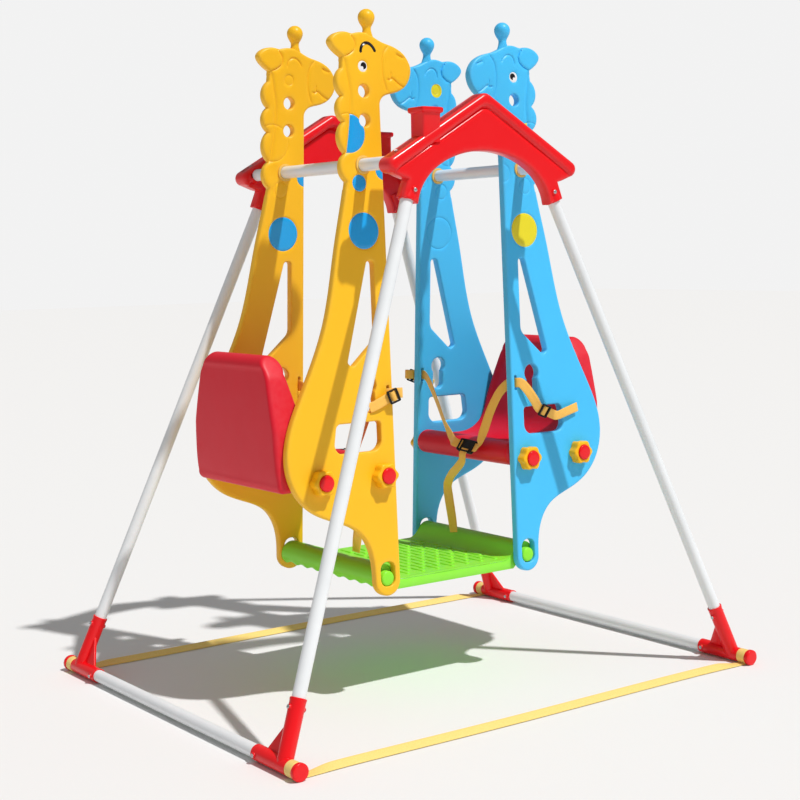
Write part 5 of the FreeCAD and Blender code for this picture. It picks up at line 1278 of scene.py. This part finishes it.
def rib_pattern():
    """Raised ribs on the tread in a running bond: long rounded bars, alternate rows shifted."""
    shells = []
    length, width, height, corner = 54.0, 11.0, 3.4, 4.5
    rings = []
    for inset, z in ((0.0, -0.5), (0.0, 1.2), (0.5, 2.3), (1.4, 3.1), (2.4, height)):
        x, y = width / 2 - inset, length / 2 - inset
        loop = rounded(rectangle(-x, x, -y, y, corner - inset), 60.0)
        rings.append(np.column_stack([loop, np.full(len(loop), z)]))
    template, faces, _ = loft(rings)
    pitch_x, pitch_y = 24.5, 65.0
    for i, x in enumerate(np.arange(-6.5, 7.0) * pitch_x):
        shift = pitch_y / 2 if i % 2 else 0.0
        for y in np.arange(-3, 4) * pitch_y + shift:
            if abs(y) + length / 2 < BOARD_HALF - 9 and abs(x) + width / 2 < 168:
                shells.append((template + [x, y, TREAD_Z], faces, {}))
    return shells


def make_footboard():
    """Green footboard: thin tread with rolled ends and a scalloped hem, end walls, ribs, pins.

    hem rise = 2.4 (1 - cos(2 pi y / 50)) mm, fading out 16 mm above the hem.
    """
    half, inner = board_skin()
    outer = np.vstack([half[::-1] * [-1, 1], half[1:]])
    within = np.vstack([inner[::-1] * [-1, 1], inner[1:]])
    loop = np.vstack([outer, within[::-1]])
    count = int(2 * BOARD_HALF / 3.5)
    rows = []
    for y in np.linspace(-BOARD_HALF, BOARD_HALF, count):
        wave = 2.4 * (1 - math.cos(2 * math.pi * y / 50.0))
        low = np.clip((HEM_Z + 16 - loop[:, 1]) / 16, 0, 1)
        rows.append(np.column_stack([loop[:, 0], np.full(len(loop), y), loop[:, 1] + wave * low]))
    rows = np.array(rows)
    m, n = rows.shape[:2]
    cap = loop_triangles(loop)
    points = rows.reshape(-1, 3)
    edge = np.abs(np.abs(points[:, 1]) - BOARD_HALF) < 1
    skin = (points, [(grid_faces(m, n), 0), (cap[:, ::-1], 0), (cap + (m - 1) * n, 0)],
            {"rim": edge * 0.6})
    under = PIN_X - 19.0
    wall = clean_loop(np.vstack([inner[::-1] * [-1, 1], inner[1:],
                                 line_points((inner[-1][0], HEM_Z), (under, HEM_Z)),
                                 line_points((under, HEM_Z), (under - 14, BOARD_LOW)),
                                 line_points((under - 14, BOARD_LOW), (14 - under, BOARD_LOW), 8.0),
                                 line_points((14 - under, BOARD_LOW), (-under, HEM_Z)),
                                 line_points((-under, HEM_Z), (-inner[-1][0], HEM_Z))]))
    shells = [skin]
    for side_y in (-1, 1):
        def place(x, share, z):
            return np.stack([x, np.full_like(x, side_y * (BOARD_HALF - 2.2) + share * 2.2), z], -1)
        shells.append(cross_body(wall, [(-1, 0.0), (-0.75, 0.55), (-0.4, 1.3), (0.4, 1.3),
                                        (0.75, 0.55), (1, 0.0)], place, 1.3))
    for x, y in ((2.0, BOARD_HALF - 4), (170.0, 2.0)):
        ring = np.array([corner[:2] for corner in rectangle(-x, x, -y, y, 0)])
        shells.append(loft([np.column_stack([ring, np.full(4, z)]) for z in (284.0, 307.0)]))
    pin = [(-235.4, 0.5), (-235.4, 12.0), (-235.0, 15.6), (-233.8, 17.9), (-231.8, 19.0),
           (231.8, 19.0), (233.8, 17.9), (235.0, 15.6), (235.4, 12.0), (235.4, 0.5)]
    for side_x in (-1, 1):
        shells.append(turned(pin, (side_x * PIN_X, 0, PIN_Z), (0, 1, 0), 64))
    piece("ribbed_footboard", shells + rib_pattern(), ["green"], "footboard", ["footboard"])


# ---------------------------------------------------------------- harness
def ribbon(points, across, width=25.0, thick=1.8, step=2.5, ease=0.62):
    """Webbing along a smooth run of cubics between neighbours, with a flat strip as its section.

    across gives the way across the webbing at each point; ease sets how far the curve swings out.
    """
    p, side = np.asarray(points, float), np.asarray(across, float)
    keep = np.concatenate([[True], np.linalg.norm(np.diff(p, axis=0), axis=1) > 0.3])
    p, side = p[keep], side[keep]
    side = unit_rows(side)
    chord = np.diff(p, axis=0)
    size = np.linalg.norm(chord, axis=1)
    way = chord / size[:, None]
    slope = unit_rows(np.vstack([way[:1], way[:-1] + way[1:], way[-1:]]))
    line, direction = [], []
    for i, length in enumerate(size):
        count = max(int(length / step), 2)
        t = (np.arange(count + (i == len(size) - 1)) / count)[:, None]
        pull = length * ease * 1.3
        line.append((2 * t**3 - 3 * t**2 + 1) * p[i] + (t**3 - 2 * t**2 + t) * pull * slope[i]
                    + (3 * t**2 - 2 * t**3) * p[i + 1] + (t**3 - t**2) * pull * slope[i + 1])
        ease_t = t * t * (3 - 2 * t)
        direction.append((1 - ease_t) * side[i] + ease_t * side[i + 1])
    line, direction = np.vstack(line), np.vstack(direction)
    ahead = unit_rows(np.gradient(line, axis=0))
    direction = unit_rows(direction - ahead * np.einsum("ij,ij->i", ahead, direction)[:, None])
    normal = np.cross(ahead, direction)
    half = thick / 2
    section = [(-1, 0.0), (-0.985, 0.62), (-0.94, 1.0), (-0.5, 0.94), (0, 0.94), (0.5, 0.94),
               (0.94, 1.0), (0.985, 0.62), (1, 0.0), (0.985, -0.62), (0.94, -1.0), (0.5, -0.94),
               (0, -0.94), (-0.5, -0.94), (-0.94, -1.0), (-0.985, -0.62)]
    u = np.array([s[0] for s in section]) * width / 2
    v = np.array([s[1] for s in section]) * half
    rings = line[:, None] + direction[:, None] * u[:, None] + normal[:, None] * v[:, None]
    length = np.concatenate([[0], np.cumsum(np.linalg.norm(np.diff(line, axis=0), axis=1))])
    weave = np.stack(np.broadcast_arrays(length[:, None], u[None], 0.0 * u[None]), -1).reshape(-1,
                                                                                               3)
    weave = np.vstack([weave, [[length[0], 0, 0], [length[-1], 0, 0]]])
    return loft(rings, extras={"weave": weave})


BELT_THICK, SLOT_SEAT = 1.8, 0.3
BELT_CLEAR = SLOT_SEAT + BELT_THICK / 2
SLOT_X, SLOT_RISE = 42.0 + BELT_CLEAR, -567.0
# Runs of the straps: places first, then the way across the webbing at each of them. LONG is
# the near blue lap strap, SHORT the other three; panel runs are (forward, out, rise).
WEAVE_STEPS = ((-17, -2.7), (-9.2, -2.7), (-3.2, 2.7), (3.2, 2.7), (9.2, -2.7), (17, -2.7))
LONG_TAIL = ((-165, 9, -646), (-120, 13, -656), (-85, 12, -664))
LONG_TAIL_ACROSS = ((0, 0, 1), (0, 0.1, 1), (-0.3, 0.2, 0.9))
LONG_ADJUSTER = (-40, 13.5, -648)
LONG_ALONG, LONG_ACROSS = (0.93, -0.02, 0.36), (-0.33, 0.4, 0.86)
LONG_RUN = ((-2, 19, -618), (20, 15, -586), (37, 7, -567))
LONG_RUN_ACROSS = ((-0.5, 0.45, 0.7), (-0.3, 0.2, 0.9), (0, 0, 1))
SHORT_TAIL = ((-14, 2.5, -600), (8, 7, -592))
SHORT_TAIL_ACROSS = ((0.1, 0, 1), (0, 0, 1))
SHORT_LOOP = ((75, 20, -567), (79, 13, -567), (72, 7, -567), (59, 4, -567))
SHORT_ADJUSTER = (50, 17, -574)
SHORT_ALONG, SHORT_ACROSS = (-0.88, -0.28, -0.36), (-0.35, 0.0, 0.93)
NEAR_RUN = ((56, -163, -592), (64, -132, -644), (71, -114, -694), (78, -103, -728))
FAR_RUN = ((57, 150, -582), (60, 112, -632), (68, 66, -692), (76, 25, -730))
RUN_ACROSS = ((0.1, 0.35, 1), (0.3, 0.6, 0.8), (0.3, 0.5, 0.7), (-0.1, 0.4, 0.9))
BUCKLE_PLACE, BUCKLE_LONG, BUCKLE_UP = (77.0, -47.0, -749.6), (-0.10, -0.985, -0.10), (-0.55, 0.0,
                                                                                       0.80)
BUCKLE_SIZE = (56.0, 40.0, 7.0)
# Height of the bars that hold the straps down, over the buckle's middle
BAR_LIFT = BUCKLE_SIZE[2] / 2 + SLOT_SEAT + BELT_THICK + 1.5
LAP_ON_BUCKLE = ((44.0, 5.0), (31.0, 0.0), (21.0, 0.0))
CROTCH_ON_BUCKLE = ((-9.0, 0.0), (-26.0, 0.0))
CROTCH_RUN = ((96, -46, -786), (91, -16, -812), (82, 22, -838), (76, 45, -868), (74, 42, -905),
              (72, 32, -960), (71, 26, -1000))
CROTCH_ACROSS = ((-0.1, -0.9, -0.3), (-0.1, -0.8, -0.6), (-0.2, -0.8, -0.5), (-0.5, -0.8, 0),
                 (-0.8, -0.6, 0), (-0.6, -0.8, 0), (-0.3, -1, 0))


def swing_point(side_x, forward, across, rise):
    """Point of the object for one given forward, across and up from a crossbar's middle."""
    return np.array([side_x * (BAR_X - forward), side_x * across, BAR_Z + rise])


def swing_way(side_x, direction):
    """Direction of the object for one given forward, across and up of a swing."""
    forward, across, rise = direction
    return np.array([-side_x * forward, side_x * across, rise], float)


def panel_way(side_x, side_y, direction):
    """Direction of the object for one given as forward, out and up of a panel."""
    place = panel_place(side_x, side_y)
    forward, out, rise = direction
    return place(float(forward), float(out), float(rise)) - place(0.0, 0.0, 0.0)


def adjuster_axes(side_x, side_y):
    """Middle of an adjuster and its directions along, across and out."""
    long_one = side_x > 0 and side_y < 0
    forward, out, rise = LONG_ADJUSTER if long_one else SHORT_ADJUSTER
    middle = panel_place(side_x, side_y)(float(forward), PANEL_HALF + out, float(rise))
    along = unit(panel_way(side_x, side_y, LONG_ALONG if long_one else SHORT_ALONG))
    across = panel_way(side_x, side_y, LONG_ACROSS if long_one else SHORT_ACROSS)
    across = unit(across - along * (across @ along))
    outward = np.cross(along, across)
    if outward @ panel_normal(side_y) < 0:
        outward = -outward
    return middle, along, across, outward


def buckle_axes(side_x):
    """Middle of a buckle and its directions: along the lap, up its plate and out of it."""
    along = unit(swing_way(side_x, BUCKLE_LONG))
    normal = unit(np.cross(along, swing_way(side_x, BUCKLE_UP)))
    return swing_point(side_x, *BUCKLE_PLACE), along, np.cross(normal, along), normal


def lap_strap(side_x, side_y):
    """One lap strap: tail, weave through the adjuster, belt slot, then down to the buckle."""
    place = panel_place(side_x, side_y)
    middle, along, adjuster_across, outward = adjuster_axes(side_x, side_y)
    weave = [middle + along * a + outward * o for a, o in WEAVE_STEPS]

    def in_plane(route):
        return [place(float(f), PANEL_HALF + o, float(r)) for f, o, r in route]

    def ways(directions):
        return [panel_way(side_x, side_y, d) for d in directions]

    if side_x > 0 and side_y < 0:
        points = in_plane(LONG_TAIL) + weave + in_plane(LONG_RUN)
        across = ways(LONG_TAIL_ACROSS) + [adjuster_across] * 6 + ways(LONG_RUN_ACROSS)
    else:
        points = in_plane(SHORT_TAIL) + weave[::-1] + in_plane(SHORT_LOOP)
        across = ways(SHORT_TAIL_ACROSS) + [adjuster_across] * 6 + ways([(0, 0, 1)] * 4)
    for out in (PANEL_HALF + BELT_CLEAR, -PANEL_HALF - BELT_CLEAR, -PANEL_HALF - BELT_CLEAR - 3.0):
        points.append(place(SLOT_X, out, SLOT_RISE))
        across.append(panel_way(side_x, side_y, (0, 0, 1)))
    near_side = side_y * side_x < 0
    for forward, reach, rise in NEAR_RUN if near_side else FAR_RUN:
        points.append(swing_point(side_x, forward, reach, rise))
    for forward, reach, rise in RUN_ACROSS:
        across.append(swing_way(side_x, (forward, reach if near_side else -reach, rise)))
    centre, lap, up, normal = buckle_axes(side_x)
    for reach, height in LAP_ON_BUCKLE:
        points.append(centre + lap * (reach if near_side else -reach)
                      + normal * (BUCKLE_SIZE[2] / 2 + BELT_CLEAR + height))
        across.append(up)
    return ribbon(points, across)


def crotch_strap(side_x):
    """Run of a crotch strap: off the buckle, over the seat's front edge and down."""
    centre, lap, up, normal = buckle_axes(side_x)
    above = BUCKLE_SIZE[2] / 2 + BELT_CLEAR
    points = [centre + up * u + normal * (above + h) for u, h in CROTCH_ON_BUCKLE]
    across = [lap] * 2
    points += [swing_point(side_x, *p) for p in CROTCH_RUN]
    across += [swing_way(side_x, d) for d in CROTCH_ACROSS]
    return ribbon(points, across)


def make_harness():
    """Lap and crotch straps, three-way buckles and ladder adjusters of both swings."""
    length, height, thick = BUCKLE_SIZE
    shape = rounded(rectangle(-length / 2, length / 2, -height / 2, height / 2, 7), 1.5)
    button = (0, 0, 10.5)
    points, triangles, gap, radius = flat_mesh(
        [shape], [1.4], [(circle_points(*button, 1.5), 1.0)], [], 2.2)
    raised = 0.9 * soft_edge(circle_distance(points, *button), 0.5)
    front = thick / 2 - 0.9 - edge_drop(gap, radius) + raised
    front -= 0.9 * bell(np.abs(points[:, 0]) - 17.0, 0.7) * (gap > 1.5)
    back = -(thick / 2 - edge_drop(gap, radius))
    ladder = rounded(rectangle(-14.5, 14.5, -17.5, 17.5, 3), 1.5)
    windows = [rounded(rectangle(left, right, -13.5, 13.5, 1), 1.5)
               for left, right in ((-9.2, -3.2), (3.2, 9.2))]
    frame_flat = flat_mesh([ladder] + windows, [0.9, 0.7, 0.7], [], [], 2.0)
    reach = np.maximum(np.abs(frame_flat[0][:, 0]) - 9.2, np.abs(frame_flat[0][:, 1]) - 13.5)
    frame_back = edge_drop(frame_flat[2], frame_flat[3]) - 1.5
    frame_top = 2.6 * smooth_step(reach, -0.1, 0.9) - frame_back
    for side, side_x in (("yellow", -1), ("blue", 1)):
        body = side + "_swing"
        for far, side_y in (("near", -1), ("far", 1)):
            piece("lap_webbing_%s_%s" % (side, far), [lap_strap(side_x, side_y)], ["webbing"], body,
                  ["lap_strap_%s_%s" % (side, far)], 60.0)
        piece("crotch_webbing_" + side, [crotch_strap(side_x)], ["webbing"], body,
              ["crotch_strap_" + side], 60.0)
        centre, lap, up, normal = buckle_axes(side_x)
        shells = [slab(points, triangles, front, back, plate_in(centre, lap, up, normal))]
        for across_bar, along_bar, place in ((lap, up, 25.5), (lap, up, -25.5), (up, lap, -17.0)):
            arch = [(-17.2, 2.6), (-16.0, BAR_LIFT), (-8.0, BAR_LIFT), (8.0, BAR_LIFT),
                    (16.0, BAR_LIFT), (17.2, 2.6)]
            run = [centre + across_bar * place + along_bar * a + normal * h for a, h in arch]
            shells.append(ribbon(run, [across_bar] * len(run), 4.6, 2.4, 1.2))
        piece("harness_buckle_" + side, shells, ["black"], body, ["buckle_" + side])
        shells = []
        for side_y in (-1, 1):
            middle, along, across, outward = adjuster_axes(side_x, side_y)
            shells.append(slab(frame_flat[0], frame_flat[1], frame_top, frame_back,
                               plate_in(middle, along, across, outward)))
        piece("ladder_adjusters_" + side, shells, ["black"], body, ["adjusters_" + side])


EYE_RADIUS, STRAP_Y = 18.6, 558.5
STRAP = {"width": 26.0, "thick": 1.6, "ease": 0.77}


def make_floor_straps():
    """Webbing from foot to foot: an eye round each neck and a run that lies half on edge."""
    angle = np.linspace(-math.pi / 2, 1.5 * math.pi, 49)
    ends = np.linspace(0, 120, 9)
    x = np.concatenate([ends - BASE_X, np.linspace(140 - BASE_X, BASE_X - 140, 60),
                        BASE_X - ends[::-1]])
    from_end = BASE_X - np.abs(x)
    tilt = math.radians(27) * smooth_step(from_end, 14.0, 110.0)
    for far, side_y in (("near", -1), ("far", 1)):
        shells = []
        for side_x in (-1, 1):
            ring = np.stack([side_x * BASE_X + EYE_RADIUS * np.cos(angle),
                             np.full(len(angle), side_y * STRAP_Y),
                             BASE_Z + EYE_RADIUS * np.sin(angle)], -1)
            shells.append(ribbon(ring, np.tile([0, 1.0, 0], (len(angle), 1)), **STRAP))
        sway = 3.0 * np.sin(x / 190.0 + side_y) * smooth_step(from_end, 14.0, 200.0)
        line = np.stack([x, side_y * STRAP_Y + sway, 2.4 + 13.0 * np.sin(tilt)], -1)
        across = np.stack([0 * x, np.cos(tilt), np.sin(tilt)], -1)
        shells.append(ribbon(line, across, step=8.0, **STRAP))
        piece("floor_webbing_" + far, shells, ["floor_webbing"], "frame",
              ["floor_strap_" + far], 60.0)


def finish_studs():
    """The studs keep their CAD form; only their finish is set."""
    for side in ("yellow", "blue"):
        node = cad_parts["seat_bolts_" + side]
        node.data.materials.clear()
        node.data.materials.append(FINISH["steel"])


# ---------------------------------------------------------------- light, floor and camera
FLOOR_REACH, FLOOR_WHITE, FLOOR_ROUGH = 30, 0.83, 0.9
ROOM_LIGHT, BACKDROP_SEEN = 0.3, 0.89
KEY_STRENGTH, KEY_WIDTH = 3.0, math.radians(1.5)
KEY_COLOUR, KEY_FROM = (1.0, 0.985, 0.965), (0.16, -0.50, 0.86)


def make_floor():
    """Plain pale floor under the object, wide enough to reach past the view."""
    mesh = bpy.data.meshes.new("floor")
    corners = rectangle(-FLOOR_REACH, FLOOR_REACH, -FLOOR_REACH, FLOOR_REACH, 0)
    mesh.from_pydata(corners, [], [(0, 1, 2, 3)])
    material = bpy.data.materials.new("matt_white_backdrop")
    material.use_nodes = True
    fill(material.node_tree, material.node_tree.nodes["Principled BSDF"],
         {"Base Color": (FLOOR_WHITE,) * 3 + (1,), "Roughness": FLOOR_ROUGH})
    mesh.materials.append(material)
    floor = bpy.data.objects.new("floor", mesh)
    bpy.context.scene.collection.objects.link(floor)
    floor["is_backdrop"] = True


def make_light():
    """Pale room light, brighter to the eye than on the object, and a key lamp from above."""
    world = bpy.data.worlds.new("studio")
    bpy.context.scene.world = world
    world.use_nodes = True
    tree = world.node_tree
    seen = add(tree, "LightPath").outputs["Is Camera Ray"]
    fill(tree, tree.nodes["Background"],
         {"Color": (1, 1, 1, 1), "Strength": ranged(tree, seen, ROOM_LIGHT, BACKDROP_SEEN)})
    sun = bpy.data.lights.new("key", "SUN")
    sun.energy = KEY_STRENGTH
    sun.angle = KEY_WIDTH
    sun.color = KEY_COLOUR
    lamp = bpy.data.objects.new("key", sun)
    lamp.rotation_euler = Vector(KEY_FROM).to_track_quat("Z", "Y").to_euler()
    bpy.context.scene.collection.objects.link(lamp)
    bpy.context.scene.view_settings.view_transform = "Standard"
    bpy.context.scene.view_settings.look = "None"


make_panels()
make_tubes()
make_feet()
make_caps()
make_bolts()
make_gables()
make_bushings()
make_knobs()
make_seats()
make_footboard()
make_harness()
make_floor_straps()
finish_studs()
make_floor()
make_light()
put_camera()
[[list(c) for c in box] for box in (CAD_BOX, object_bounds())]
